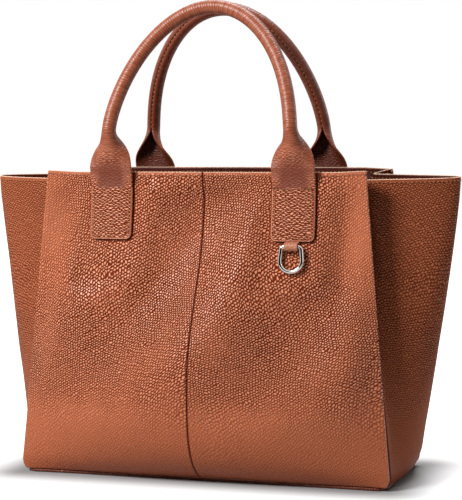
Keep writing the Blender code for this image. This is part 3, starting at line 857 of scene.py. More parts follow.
def leather(
    name,
    look,
    tint=1.0,
    foot=True,
    pressed=False,
    shaded_fold=False,
    seed=0.0,
    slant=GRAIN_SLANT,
    plain=0.0,
    row=RIM_ROW,
    sheen=0.35,
):
    """Pebbled leather, with painted highlights on its highest pebble tops and dark pits that are
    partly its grain and partly painted shade. plain takes depth from the grain. A foot is
    smoother and darker with painted shade, and a row sews the rim and paints it with edge paint
    pale enough to be a painted highlight. Pressed leather has a seam and tabs on it, with painted
    shadow round the tabs, painted shade low down and a painted highlight on its side edges, and
    a shaded fold paints shade into the fold beside a gusset's seams."""
    shader = Shader(name)
    skin, edge = shader.uv("skin"), shader.uv("edge")
    side, rim, _ = shader.parts(edge)
    x, _, level = shader.parts(shader.place())
    top = tinted(look.top_color, tint)
    pit = tinted(top, tuple(look.pit_tint))
    edge_paint_and_highlight = tuple(look.edge_color)

    # how deep the grain is, from 0 to about 1
    grain = pebbles(shader, skin, look.grain_size, seed, slant)
    wide = shader.noise(skin, 22.0, 3.0, 0.55, dims="2D")
    pores = shader.noise(skin, 1500.0, 2.0, 0.6, dims="2D")
    depth = (wide.step(0.2, 0.75) * 0.45 + 0.65) * (1 - plain)
    depth = depth * (1 - rim.step(0.0045, 0.0012) * 0.8)
    if pressed:
        depth = depth * (1 - abs(x).step(0.100, 0.138) * level.step(0.11, 0.22) * 0.7)
        # a pressed crease round each tab: its grain is flattened there, and it takes a painted
        # shadow
        beside = abs(abs(x) - HANDLE_SPREAD / 2) - TAB_WIDTH / 2 + TAB_CORNER_RADIUS
        beside = beside.most(0)
        under = (TAB_BOTTOM + TAB_CORNER_RADIUS - level).most(0)
        crease_and_shadow = (beside * beside + under * under) ** 0.5 - TAB_CORNER_RADIUS
        crease_and_shadow = crease_and_shadow.step(0.0015, 0.0004)
        depth = depth * (1 - crease_and_shadow)
    if foot:
        edge_wave = shader.noise(skin, 30.0, 2.0, dims="2D") * 0.03
        depth = depth * ((level + edge_wave).step(0.05, 0.13) * 0.86 + 0.14)
    height = grain * depth * look.grain_depth + pores * 0.00002

    # colors of pits and tops, then painted shadow, painted shade and painted highlights, seams and
    # rim edges
    rise = grain * depth + (1 - depth) * 0.42
    # dark pits: partly the grain's own tone, partly painted shade
    shade = shader.mix(rise.step(-0.12, 0.58), pit, top)
    # painted highlight on the highest pebble tops
    shade = shader.mix(rise.step(0.55, 1.0) * 0.5, shade, tinted(top, HIGHLIGHT_TINT))
    open_grain = rise.step(-0.06, 0.7)
    if pressed:
        # painted shadow round the tab, darkest in its crease
        shade = shader.mix(crease_and_shadow * 0.85, shade, tinted(pit, 0.35))
        open_grain = open_grain * (1 - crease_and_shadow)
        # painted shade, darker towards the bottom of the panel
        shade = shader.mix(level.step(0.12, 0.04) * 0.14, shade, pit)
        # painted highlight along the panels' side edges, in the edge color, brighter low down
        turned = abs(side).step(0.0011, 0.0005) * abs(x).step(0.05, 0.06)
        turned = turned * (level.step(0.13, 0.08) * 0.4 + 0.15)
        shade = shader.mix(turned, shade, edge_paint_and_highlight)
    if shaded_fold:
        # painted shade in the fold beside the gusset's seams, wider high up
        inner = side.step(0.034, 0.022) * level.step(0.15, 0.25) * 0.9
        inner = side.step(0.006, 0.0015).most(inner)
        shade = shader.mix(inner, shade, tinted(pit, 0.4))
        open_grain = open_grain * (1 - inner * 0.8)
    if row:
        # edge paint on the rim, pale enough to stand in as a painted highlight
        rim_paint_and_highlight = rim.step(0.0007, 0.0003)
        shade = shader.mix(rim_paint_and_highlight * 0.7, shade, edge_paint_and_highlight)
        open_grain = open_grain.most(rim_paint_and_highlight)
        groove = abs(rim - row).step(0.0009, 0.0002)
        height = height - groove * 0.00022
        shade = shader.mix(groove * 0.55, shade, pit)
        seam = abs(side).step(0.0014, 0.0006) * abs(x).step(0.02, 0.01)
        shade = shader.mix(seam * 0.7, shade, pit)
    if foot:
        # painted shade at the foot
        shade = shader.mix(level.step(0.022, 0.002) * 0.30, shade, pit)
    return shader.pitted(
        open_grain,
        pit,
        shader.bump(height),
        Base_Color=shade,
        Roughness=0.40 - rise * 0.08 + pores * 0.06,
        Specular_IOR_Level=sheen,
    )


def strap_leather(name, look):
    """Handle leather: pebbled on the tabs, smooth at the bend, ribbed across on the tube, with
    painted highlights on its pebble tops and tab lips, and painted shade at the bend and on the
    tube.
    """
    shader = Shader(name)
    skin, edge = shader.uv("skin"), shader.uv("edge")
    signed, _, _ = shader.parts(edge)
    side = abs(signed)
    around, along, _ = shader.parts(skin)
    level = shader.parts(shader.place())[2]
    top = tuple(look.top_color)
    pit = tinted(top, tuple(look.pit_tint))
    highlight_color = tinted(top, HIGHLIGHT_TINT)

    # where the strip is a tab, where it is smooth, and where it is rolled
    wide = shader.noise(skin, 25.0, 3.0, 0.55, dims="2D")
    tab = level.step(TOP_ROW_HEIGHT + 0.0012, TOP_ROW_HEIGHT - 0.0002)
    smooth = (side + wide * 0.004).step(0.004, 0.012) * level.step(0.286, 0.262) * (1 - tab)
    closing = level.step(0.252, 0.266) * side.step(0.013, 0.004) * 0.75
    rolled = level.step(0.270, 0.292).most(closing)
    lip = side.step(0.0016, 0.0008) * tab

    # grain, ribs and pores
    pores = shader.noise(skin, 1400.0, 2.0, 0.6, dims="2D")
    grain = pebbles(shader, skin, look.grain_size * 0.8, 4.2, radians(-4), 2.3, 0.55)
    wobble = shader.noise(skin, 90.0, 2.0, dims="2D") - 0.5
    ribs = (along * (2 * pi / RIB_PITCH) + wobble * 9.0 + around * 60.0).sine() * 0.5 + 0.5
    broken = shader.noise(shader.turn(skin, 0.0, (2, 0.62, 1)), 240.0, 2.0, 0.6, dims="2D")
    ribs = ribs * 0.5 + broken.step(0.3, 0.7) * 0.5
    depth = (1 - smooth * 0.7) * (1 - rolled) * (tab * 0.4 + 0.6) * (1 - lip * 0.8)
    height = grain * depth * look.grain_depth * 0.8 + ribs * rolled * 0.0002 + pores * 0.00002

    rise = grain * depth + (ribs * 0.3 + 0.35) * rolled + (1 - depth) * (1 - rolled) * 0.42
    # dark pits: partly the grain's own tone, partly painted shade
    shade = shader.mix(rise.step(0.0, 0.6), pit, top)
    # painted highlight on the highest pebble tops and on the tab's lip, brighter at its foot
    shade = shader.mix(rise.step(0.5, 1.0) * 0.6, shade, highlight_color)
    low_lip = level.step(TAB_BOTTOM + 0.006, TAB_BOTTOM) * 0.45 + 0.15
    shade = shader.mix(lip * low_lip, shade, highlight_color)
    # painted shade on the smooth bend of the strip
    shade = shader.mix(smooth * 0.85, shade, tinted(top, BEND_SHADE_TINT))
    # painted shade over the rolled tube, darkest towards its seam
    tube_shade = rolled * (side.step(0.015, 0.004) * 0.35 + 0.62)
    shade = shader.mix(tube_shade, shade, tinted(top, TUBE_SHADE_TINT))
    under = signed.step(-0.0003, -0.0014)
    shade = shader.mix(under * 0.94, shade, tinted(top, UNDERSIDE_TINT))

    # grooves of the sewn rows, and the seam of the tube
    row = abs(side - TAB_ROW).step(0.0008, 0.0002)
    row = row * level.step(TOP_ROW_HEIGHT + 0.0006, TOP_ROW_HEIGHT)
    top_row = abs(level - TOP_ROW_HEIGHT).step(0.0008, 0.0002) * side.step(0.0022, 0.0030)
    height = height - (row * 0.5 + top_row) * 0.00022
    shade = shader.mix(row * 0.12 + top_row * 0.6, shade, pit)
    seam = side.step(0.0009, 0.0002) * level.step(0.285, 0.30)
    shade = shader.mix(seam * 0.5, shade, tinted(top, 0.2))
    return shader.pitted(
        rise.step(0.0, 0.7).most(lip),
        pit,
        shader.bump(height),
        Base_Color=shade,
        Roughness=0.44 + pores * 0.06 - rolled * 0.09,
        Specular_IOR_Level=0.5,
    )


def lining_weave(name, inside):
    """Fine plain-woven lining cloth."""
    shader = Shader(name)
    skin = shader.uv("skin")
    u, v, _ = shader.parts(skin)
    count = pi / inside.weave
    cross = (u * count).sine() * (v * count).sine() * 0.5 + 0.5
    slub = shader.noise(shader.turn(skin, 0.0, (1, 8, 1)), 900.0, 2.0, dims="2D")
    wide = shader.noise(skin, 18.0, 3.0, dims="2D")
    color = tuple(inside.lining_color)
    dark = tinted(color, 0.62)
    shade = shader.mix(cross * 0.7 + slub * 0.3, dark, color)
    shade = shader.mix(wide.step(0.3, 0.8) * 0.35, shade, dark)
    return shader.surface(
        Base_Color=shade,
        Roughness=0.86,
        Normal=shader.bump(cross * 0.00012 + slub * 0.00005),
        Sheen_Weight=0.15,
    )


def felted(name, color):
    """Matted fibres of interlining."""
    shader = Shader(name)
    spot = shader.place()
    fibres = shader.noise(spot, 900.0, 4.0, 0.7)
    tufts = shader.noise(spot, 120.0, 3.0, 0.6)
    shade = shader.mix(fibres.step(0.3, 0.7), tinted(color, 0.7), color)
    normal = shader.bump(fibres * 0.0002 + tufts * 0.0002)
    return shader.surface(Base_Color=shade, Roughness=0.95, Normal=normal)


def moulded_board(name, color):
    """Matt pressed board with a fine stipple."""
    shader = Shader(name)
    spot = shader.place()
    stipple = shader.cells(spot, 700.0)
    wide = shader.noise(spot, 30.0, 3.0)
    shade = shader.mix(wide.step(0.3, 0.7), tinted(color, 0.75), color)
    normal = shader.bump(stipple * 0.00008)
    return shader.surface(Base_Color=shade, Roughness=0.62 + stipple * 0.1, Normal=normal)


def twisted_cord(name, color):
    """Laid filler cord with slanting strands."""
    shader = Shader(name)
    x, y, z = shader.parts(shader.place())
    strand = ((x + y + z * 1.7) * (2 * pi / 0.006)).sine() * 0.5 + 0.5
    fuzz = shader.noise(shader.place(), 1400.0, 3.0, 0.65)
    shade = shader.mix(strand * 0.7 + fuzz * 0.3, tinted(color, 0.6), color)
    normal = shader.bump(strand * 0.0004 + fuzz * 0.0001)
    return shader.surface(Base_Color=shade, Roughness=0.9, Normal=normal)


def polished_metal(name, fittings):
    """Polished pale metal with hair-fine wear."""
    shader = Shader(name)
    spot = shader.place()
    hairs = shader.noise(shader.turn(spot, 0.6, (1, 0.11, 1)), 900.0, 2.0)
    smudge = shader.noise(spot, 160.0, 2.0)
    color = tuple(fittings.metal_color)
    shade = shader.mix(smudge.step(0.4, 0.8) * 0.25, color, tinted(color, 0.86))
    return shader.surface(
        Base_Color=shade,
        Metallic=1.0,
        Roughness=fittings.metal_roughness + smudge.step(0.5, 0.8) * 0.06,
        Normal=shader.bump(hairs * 0.000002),
    )


def thread(name, seams):
    """Waxed thread, lighter than the leather, with a slanting twist."""
    shader = Shader(name)
    x, y, z = shader.parts(shader.place())
    twist = ((x + z * 0.8 + y * 0.6) * (2 * pi / 0.0007)).sine() * 0.5 + 0.5
    color = tuple(seams.thread_color)
    shade = shader.mix(twist, tinted(color, 0.72), color)
    return shader.surface(
        Base_Color=shade,
        Roughness=0.8,
        Normal=shader.bump(twist * 0.00004),
        Specular_IOR_Level=0,
    )


# Settings

COLOR = {"subtype": "COLOR", "size": 3, "min": 0, "max": 1}


class ToteLeather(bpy.types.PropertyGroup):
    top_color: bpy.props.FloatVectorProperty(
        name="Leather Color",
        description="Color on top of the leather's pebbles",
        default=(0.60, 0.180, 0.078),
        **COLOR,
    )
    # the pits' tint is partly the grain's own darker tone and partly painted shade
    pit_tint: bpy.props.FloatVectorProperty(
        name="Pit Tint",
        description="What the pits between the pebbles keep of the leather color",
        default=(0.22, 0.10, 0.07),
        **COLOR,
    )
    # edge paint, pale enough to stand in as painted highlight on the rims and side edges
    edge_color: bpy.props.FloatVectorProperty(
        name="Edge Color",
        description="Color of the painted leather edges",
        default=(0.86, 0.62, 0.45),
        **COLOR,
    )
    grain_size: bpy.props.FloatProperty(
        name="Grain Size",
        description="Distance between the middles of two pebbles",
        unit="LENGTH",
        default=0.0021,
        min=0.0005,
        precision=4,
    )
    grain_depth: bpy.props.FloatProperty(
        name="Grain Depth",
        description="Height of a pebble over the pits beside it",
        unit="LENGTH",
        default=0.0012,
        min=0,
        precision=5,
    )


class ToteSeams(bpy.types.PropertyGroup):
    thread_color: bpy.props.FloatVectorProperty(
        name="Thread Color",
        description="Color of the sewing thread",
        default=(0.58, 0.23, 0.115),
        **COLOR,
    )
    pitch: bpy.props.FloatProperty(
        name="Stitch Pitch",
        description="Distance from one stitch to the next",
        unit="LENGTH",
        default=0.0036,
        min=0.001,
        precision=4,
    )
    thread_radius: bpy.props.FloatProperty(
        name="Thread Radius",
        description="Half the thickness of the sewing thread",
        unit="LENGTH",
        default=0.00032,
        min=0.0001,
        precision=5,
    )


class ToteInside(bpy.types.PropertyGroup):
    lining_color: bpy.props.FloatVectorProperty(
        name="Lining Color",
        description="Color of the lining cloth",
        default=(0.30, 0.20, 0.13),
        **COLOR,
    )
    weave: bpy.props.FloatProperty(
        name="Weave",
        description="Distance between two threads of the lining",
        unit="LENGTH",
        default=0.0007,
        min=0.0002,
        precision=5,
    )


class ToteFittings(bpy.types.PropertyGroup):
    metal_color: bpy.props.FloatVectorProperty(
        name="Metal Color",
        description="Color of the ring",
        default=(0.72, 0.69, 0.64),
        **COLOR,
    )
    metal_roughness: bpy.props.FloatProperty(
        name="Metal Roughness",
        description="How matt the ring is",
        subtype="FACTOR",
        default=0.10,
        min=0,
        max=1,
    )


class ToteStage(bpy.types.PropertyGroup):
    floor_color: bpy.props.FloatVectorProperty(
        name="Floor Color",
        description="Color of the floor under the bag",
        default=(0.55, 0.55, 0.55),
        **COLOR,
    )


# Operators


def panel_sinks(levels, middle):
    """How far the faces of a panel half lie within its thickness at its seam, side and rim. The
    inner one stands out where the rim is turned in. levels are the heights of its rows, and its
    seam lies before the middle column."""

    def sinks(i, j, edge, end):
        drop = round_off(edge, SEAM_ROUND if j < middle else SIDE_ROUND)
        rim = BODY_HEIGHT - levels[i]
        over = round_off(rim, RIM_ROUND) if rim < RIM_ZONE else round_off(end, SIDE_ROUND)
        back = -RIM_ROLL * ease((RIM_ROLL_FOOT - rim) / RIM_ROLL)
        within = max(round_off(edge, INNER_ROUND), round_off(rim, RIM_ROUND))
        return max(drop, over), back + within

    return sinks


class TOTE_OT_panels(bpy.types.Operator):
    """Make the four sewn halves of the front and back panels"""

    bl_idname = "tote.panels"
    bl_label = "Panels"

    def execute(self, context):
        look = context.scene.tote_leather
        finish = leather("panel_leather", look, pressed=True, sheen=0.28)
        for word, side in SIDES:
            for hand_word, hand in HANDS:
                net = panel_net(side, hand)
                sheet(
                    f"{word}_panel_{hand_word}",
                    "leather",
                    net,
                    (hand > 0) != (side < 0),
                    finish,
                    "tan_leather",
                    LEATHER,
                    sinks=panel_sinks([line[0].z for line in net], len(net[0]) // 2),
                    hand=hand,
                )
        return {"FINISHED"}


class TOTE_OT_gussets(bpy.types.Operator):
    """Make the two side gussets that stand out as wings"""

    bl_idname = "tote.gussets"
    bl_label = "Gussets"

    def execute(self, context):
        # painted shade: the wings' leather is painted darker than the panels'
        finish = leather(
            "gusset_leather",
            context.scene.tote_leather,
            tint=WING_SHADE_TINT,
            seed=2.3,
            slant=radians(8),
            plain=0.48,
            sheen=0.1,
            shaded_fold=True,
        )
        for word, hand in HANDS:
            net, node = gusset_net(hand), f"{word}_gusset"
            sheet(node, "leather", net, hand < 0, finish, "tan_leather", LEATHER, folded=True)
        return {"FINISHED"}


class TOTE_OT_facings(bpy.types.Operator):
    """Make the leather facings inside the rim"""

    bl_idname = "tote.facings"
    bl_label = "Rim Facings"

    def execute(self, context):
        look = context.scene.tote_leather
        # painted shade: the facings inside the rim are painted dark
        finish = leather(
            "facing_leather",
            look,
            tint=FACING_SHADE_TINT,
            foot=False,
            seed=5.1,
            plain=0.8,
            row=None,
            sheen=0.15,
        )
        made = (finish, "tan_leather", FACING)
        for word, side in SIDES:
            net = inner_net(side, FACING_FOOT, FACING_TOP)
            sheet(f"{word}_facing", "leather", net, side > 0, *made, FACING_BEHIND)
        for word, hand in HANDS:
            node = f"{word}_gusset_facing"
            net = gusset_net(hand, FACING_FOOT, FACING_TOP, SEWN_COLUMNS)
            sheet(node, "leather", net, hand < 0, *made, LINING_BEHIND, folded=True)
        return {"FINISHED"}


class TOTE_OT_linings(bpy.types.Operator):
    """Make the lining cloth and the stiffeners behind the panels"""

    bl_idname = "tote.linings"
    bl_label = "Linings"

    def execute(self, context):
        felt = (felted("interlining_felt", FELT_COLOR), "interlining", STIFFENER)
        weave = lining_weave("lining_weave", context.scene.tote_inside)
        cloth = (weave, "lining_cloth", LINING)
        for word, side in SIDES:
            net, node = inner_net(side, PANEL_FOOT, STIFFENER_TOP), f"{word}_stiffener"
            piece = sheet(node, "felt", net, side > 0, *felt, LINING_BEHIND)
            declare_cloth(net)
            net, node = inner_net(side, PANEL_FOOT, FACING_FOOT - LAYER_GAP), f"{word}_lining"
            piece = sheet(node, "cloth", net, side > 0, *cloth, FACING_BEHIND)
            declare_cloth(net)
        for word, hand in HANDS:
            node = f"{word}_gusset_lining"
            net = gusset_net(hand, PANEL_FOOT, FACING_FOOT - 2 * LAYER_GAP, SEWN_COLUMNS)
            piece = sheet(node, "cloth", net, hand < 0, *cloth, LINING_BEHIND, folded=True)
            declare_cloth(net)
        return {"FINISHED"}


def base_net(half_length, margin, level):
    """Points across the base: its long edges follow the feet of the panels."""
    net = []
    for d in spread(2 * half_length, BASE_ROWS, 0.0012):
        x = d - half_length
        cut = round_off(half_length - abs(x), BASE_CORNER_RADIUS)
        reach = panel_depth(x, PANEL_FOOT) - margin - cut
        across = spread(2 * reach, BASE_COLUMNS, 0.0012)
        net.append([Vector((x, e - reach, level)) for e in across])
    return net


class TOTE_OT_base(bpy.types.Operator):
    """Make the base panel and the lining over its board"""

    bl_idname = "tote.base"
    bl_label = "Base"

    def execute(self, context):
        look = context.scene.tote_leather
        # painted shade: the base leather is painted dark
        finish = leather("base_leather", look, tint=BASE_SHADE_TINT, foot=False, plain=0.8, row=None)
        net = base_net(BASE_HALF_LENGTH, 0.0, 0.0)
        sheet("base_panel", "leather", net, False, finish, "tan_leather", BASE_LEATHER)
        cloth = lining_weave("base_lining_weave", context.scene.tote_inside)
        level = BASE_LEATHER + BOARD_THICKNESS + 2 * LAYER_GAP + LINING
        net = base_net(BASE_HALF_LENGTH - BOARD_MARGIN, BOARD_MARGIN, level)
        piece = sheet("base_lining", "cloth", net, True, cloth, "lining_cloth", LINING)
        declare_cloth(net)
        return {"FINISHED"}


def tab_rows(side, hand):
    """Rows up a tab from its foot: outer and inner points, and (edge distance, offset) marks."""
    rows = []
    height = TAB_TOP - TAB_BOTTOM
    for h in (*TAB_FOOT_ROWS, *(lerp(0.003, height, step / 26) for step in range(27))):
        z = TAB_BOTTOM + h
        short = max(TAB_CORNER_RADIUS - h, 0)
        half = TAB_WIDTH / 2 - (TAB_CORNER_RADIUS - sqrt(TAB_CORNER_RADIUS**2 - short**2))
        outer, inner, marks = [], [], []
        for d in spread(2 * half, STRAP_COLUMNS, STRAP_EDGE):
            off = d - half
            x = hand * HANDLE_SPREAD / 2 + off
            inset = tab_inset(off, h)
            drop = round_off(inset, STRAP_EDGE)
            face = panel_depth(x, z) + TAB_GAP
            tail = 0.0
            if side < 0 < hand:
                # a hollow behind the tab for the keeper's tail
                tail = KEEPER_FLANGE + HOLLOW_GAP
                tail *= ease((HOLLOW_HALF_WIDTH - abs(off)) / HOLLOW_EDGE)
                tail *= ease((KEEPER_TAIL_TOP + HOLLOW_HEADROOM - z) / HOLLOW_HEADROOM)
            puff = TAB_PUFF * ease((inset - PUFF_START) / PUFF_SPAN)
            outer.append(Vector((x, side * (face + TAB_THICKNESS + puff - drop), z)))
            inner.append(Vector((x, side * (face + max(min(drop, STRAP_EDGE), tail)), z)))
            marks.append((inset, off))
        rows.append((outer, inner, marks))
    return rows


def tab_inset(off, height):
    """Distance of a spot on a tab from the tab's rounded outline."""
    over = abs(off) - (TAB_WIDTH / 2 - TAB_CORNER_RADIUS)
    under = TAB_CORNER_RADIUS - height
    if over > 0 and under > 0:
        return TAB_CORNER_RADIUS - hypot(over, under)
    return min(TAB_WIDTH / 2 - abs(off), height)


def strip_rows(side):
    """Rows up one leg, over the arch and down the other, of a strip that rolls into a tube."""
    points = arch_points(side)
    mid_radius = TUBE_RADIUS - HANDLE_LEATHER / 2
    full_turn = pi - TUBE_SLIT / (2 * TUBE_RADIUS)
    rows = []
    for index, point in enumerate(points):
        before, after = points[max(index - 1, 0)], points[min(index + 1, len(points) - 1)]
        tangent = (after - before).normalized()
        outward = Vector((0, side, 0))
        outward = (outward - tangent * outward.dot(tangent)).normalized()
        share = clamp((point.z - WRAP_START) / (WRAP_END - WRAP_START))
        wrap = lerp(share, ease(share), 0.5)
        half_angle = max(full_turn * wrap, 0.02)
        width = lerp(TAB_WIDTH, 2 * full_turn * mid_radius, wrap)
        thick = lerp(TAB_THICKNESS, HANDLE_LEATHER, ease((point.z - TAB_TOP) / STRAP_THINNING))
        radius = width / (2 * half_angle)
        across = tangent.cross(outward) * -side
        centre = point - outward * (radius + HANDLE_LEATHER / 2)
        outer, inner, marks = [], [], []
        for d in spread(width, STRAP_COLUMNS, STRAP_EDGE):
            angle = half_angle * (2 * d / width - 1)
            arm = outward * cos(angle) + across * sin(angle)
            inset = min(d, width - d)
            drop = round_off(inset, min(STRAP_EDGE, thick * 0.45))
            lip = ease(inset / LIP_RISE) * ease((LIP_WIDTH - inset) / LIP_FALL)
            lip *= LIP_HEIGHT * wrap
            reach = radius + HANDLE_LEATHER / 2
            outer.append(centre + arm * (reach - drop + lip))
            inner.append(centre + arm * (reach - thick + drop * 0.7))
            marks.append((inset, d - width / 2))
        rows.append((outer, inner, marks))
    return rows


class TOTE_OT_handles(bpy.types.Operator):
    """Make the two rolled handles, each one strip from tab to tab"""

    bl_idname = "tote.handles"
    bl_label = "Handles"

    def execute(self, context):
        finish = strap_leather("strap_leather", context.scene.tote_leather)
        for word, side in SIDES:
            middle = strip_rows(side)
            if side > 0:
                # the strip's rows run the other way round on the back
                middle = [turned(row) for row in middle]
            right = [turned(row) for row in tab_rows(side, 1)[:-1]]
            rows = tab_rows(side, -1)[:-1] + middle + right[::-1]
            outer = [row[0] for row in rows]
            inner = [row[1] for row in rows]
            reach, skin, edge = 0.0, [], []
            for index, (line, _, marks) in enumerate(rows):
                if index:
                    last = outer[index - 1]
                    reach += (line[len(line) // 2] - last[len(last) // 2]).length
                skin.append([(mark[1], reach) for mark in marks])
                edge.append([(mark[0], mark[1]) for mark in marks])
            name = f"{word}_handle_strip"
            obj = shell(name, outer, inner, skin, edge, False, finish)
            turn_out(obj)
            face = side * strip_depth(TAB_TOP, side)
            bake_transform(obj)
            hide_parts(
                f"{word}_handle", f"{word}_handle_left_tab", f"{word}_handle_right_tab"
            )
        return {"FINISHED"}


def turned(row):
    """A row of a strip, from its other edge."""
    return tuple(part[::-1] for part in row)


def deselect():
    if bpy.context.object and bpy.context.object.mode != "OBJECT":
        bpy.ops.object.mode_set(mode="OBJECT")
    bpy.ops.object.select_all(action="DESELECT")


class TOTE_OT_ring(bpy.types.Operator):
    """Make the hanging ring: a wire bent into a D"""

    bl_idname = "tote.ring"
    bl_label = "Ring"

    def execute(self, context):
        drop = RING_HEIGHT - RING_WIRE
        # each leg leans outward and runs into the round foot of the ring
        slope = RING_LEG_SLOPE
        foot = RING_BAR * cos(slope) + RING_CORNER * (1 - sin(slope)) + drop * sin(slope)
        foot /= 1 + sin(slope)
        leg_x = RING_BAR + RING_CORNER * cos(slope)
        leg_z = RING_CORNER * (sin(slope) - 1)
        deselect()
        bpy.ops.mesh.primitive_circle_add(
            vertices=24, radius=RING_WIRE / 2, rotation=(0, pi / 2, 0), location=(0, 0, 0)
        )
        ring = context.object
        ring.name = "d_ring_wire"
        bpy.ops.object.transform_apply(location=True, rotation=True, scale=True)
        bpy.ops.object.mode_set(mode="EDIT")
        bpy.ops.mesh.select_all(action="SELECT")

        def draw(x, z):
            bpy.ops.mesh.extrude_region_move(TRANSFORM_OT_translate={"value": (x, 0, z)})

        def bend(angle, steps, x, z):
            bpy.ops.mesh.spin(steps=steps, angle=-angle, center=(x, 0, z), axis=(0, 1, 0))

        down = (foot * cos(slope) - leg_x, foot * sin(slope) + foot - drop - leg_z)
        draw(RING_BAR, 0)
        bend(pi / 2 - slope, 8, RING_BAR, -RING_CORNER)
        draw(*down)
        bend(pi + 2 * slope, 36, 0, foot - drop)
        draw(down[0], -down[1])
        bend(pi / 2 - slope, 8, -RING_BAR, -RING_CORNER)
        draw(RING_BAR, 0)
        bpy.ops.mesh.select_all(action="SELECT")
        bpy.ops.mesh.remove_doubles(threshold=0.00005)
        bpy.ops.mesh.normals_make_consistent(inside=False)
        bpy.ops.object.mode_set(mode="OBJECT")
        lean = Matrix.Translation(EYE) @ Matrix.Rotation(-RING_LEAN, 4, "X")
        ring.data.transform(lean)
        ring.data.shade_smooth()
        finish = polished_metal("polished_ring_metal", context.scene.tote_fittings)
        ring.data.materials.append(finish)
        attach(ring, "d_ring")
        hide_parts("d_ring")
        return {"FINISHED"}


class TOTE_OT_keeper(bpy.types.Operator):
    """Make the folded leather keeper that holds the ring"""

    bl_idname = "tote.keeper"
    bl_label = "Keeper"

    def execute(self, context):
        finish = leather(
            "keeper_leather",
            context.scene.tote_leather,
            tint=KEEPER_TINT,
            foot=False,
            seed=9.0,
            plain=0.9,
            row=None,
        )
        outer_radius = EYE_RADIUS + KEEPER_PLY
        inner_face = outer_radius - KEEPER_FLANGE - 0.0001
        frame_matrix = Matrix.Translation(EYE) @ Matrix.Rotation(-KEEPER_SLOPE, 4, "X")
        tail = (KEEPER_TAIL_TOP - EYE.z) / cos(KEEPER_SLOPE)
        # side view of the fold: down the back, round the eye, up the front and under the tab
        path = [(outer_radius - 0.0002, tail), (outer_radius - 0.0001, tail * 0.6)]
        for step in range(KEEPER_TURN_STEPS + 1):
            turn = lerp(0, KEEPER_TURN, step / KEEPER_TURN_STEPS)
            path.append((outer_radius * cos(turn), -outer_radius * sin(turn)))
        path.append((inner_face + 0.0002, path[-1][1] + 0.0008))
        path.append((inner_face, tail * 0.62))
        across = [d - KEEPER_WIDTH / 2 for d in spread(KEEPER_WIDTH, 12, KEEPER_ROUND)]
        fold_line = dense(path, KEEPER_ROUND)
        net = [[frame_matrix @ Vector((x, y, z)) for x in across] for y, z in fold_line]
        made = (finish, "tab_leather", KEEPER_PLY)
        piece = sheet("d_ring_keeper", "fold", net, False, *made, radius=KEEPER_ROUND)
        turn_out(piece)
        return {"FINISHED"}


def dense(path, pitch):
    """A path with points no further apart than pitch."""
    found = [path[0]]
    for a, b in zip(path, path[1:]):
        count = max(ceil(hypot(b[0] - a[0], b[1] - a[1]) / pitch), 1)
        shares = [step / count for step in range(1, count + 1)]
        found += [(lerp(a[0], b[0], share), lerp(a[1], b[1], share)) for share in shares]
    return found


def beside_tabs(x):
    return abs(abs(x) - HANDLE_SPREAD / 2) > TAB_WIDTH / 2 + 0.001


def sewn_row(net, flip, behind=0.0, inside=False):
    """Points and normals along the sewn row of a net, some way behind it or on its inside."""
    normals = net_normals(net, flip)[-SEWN_ROW]
    sign = -1 if inside else 1
    return [(p - n * behind, n * sign) for p, n in zip(net[-SEWN_ROW], normals)]


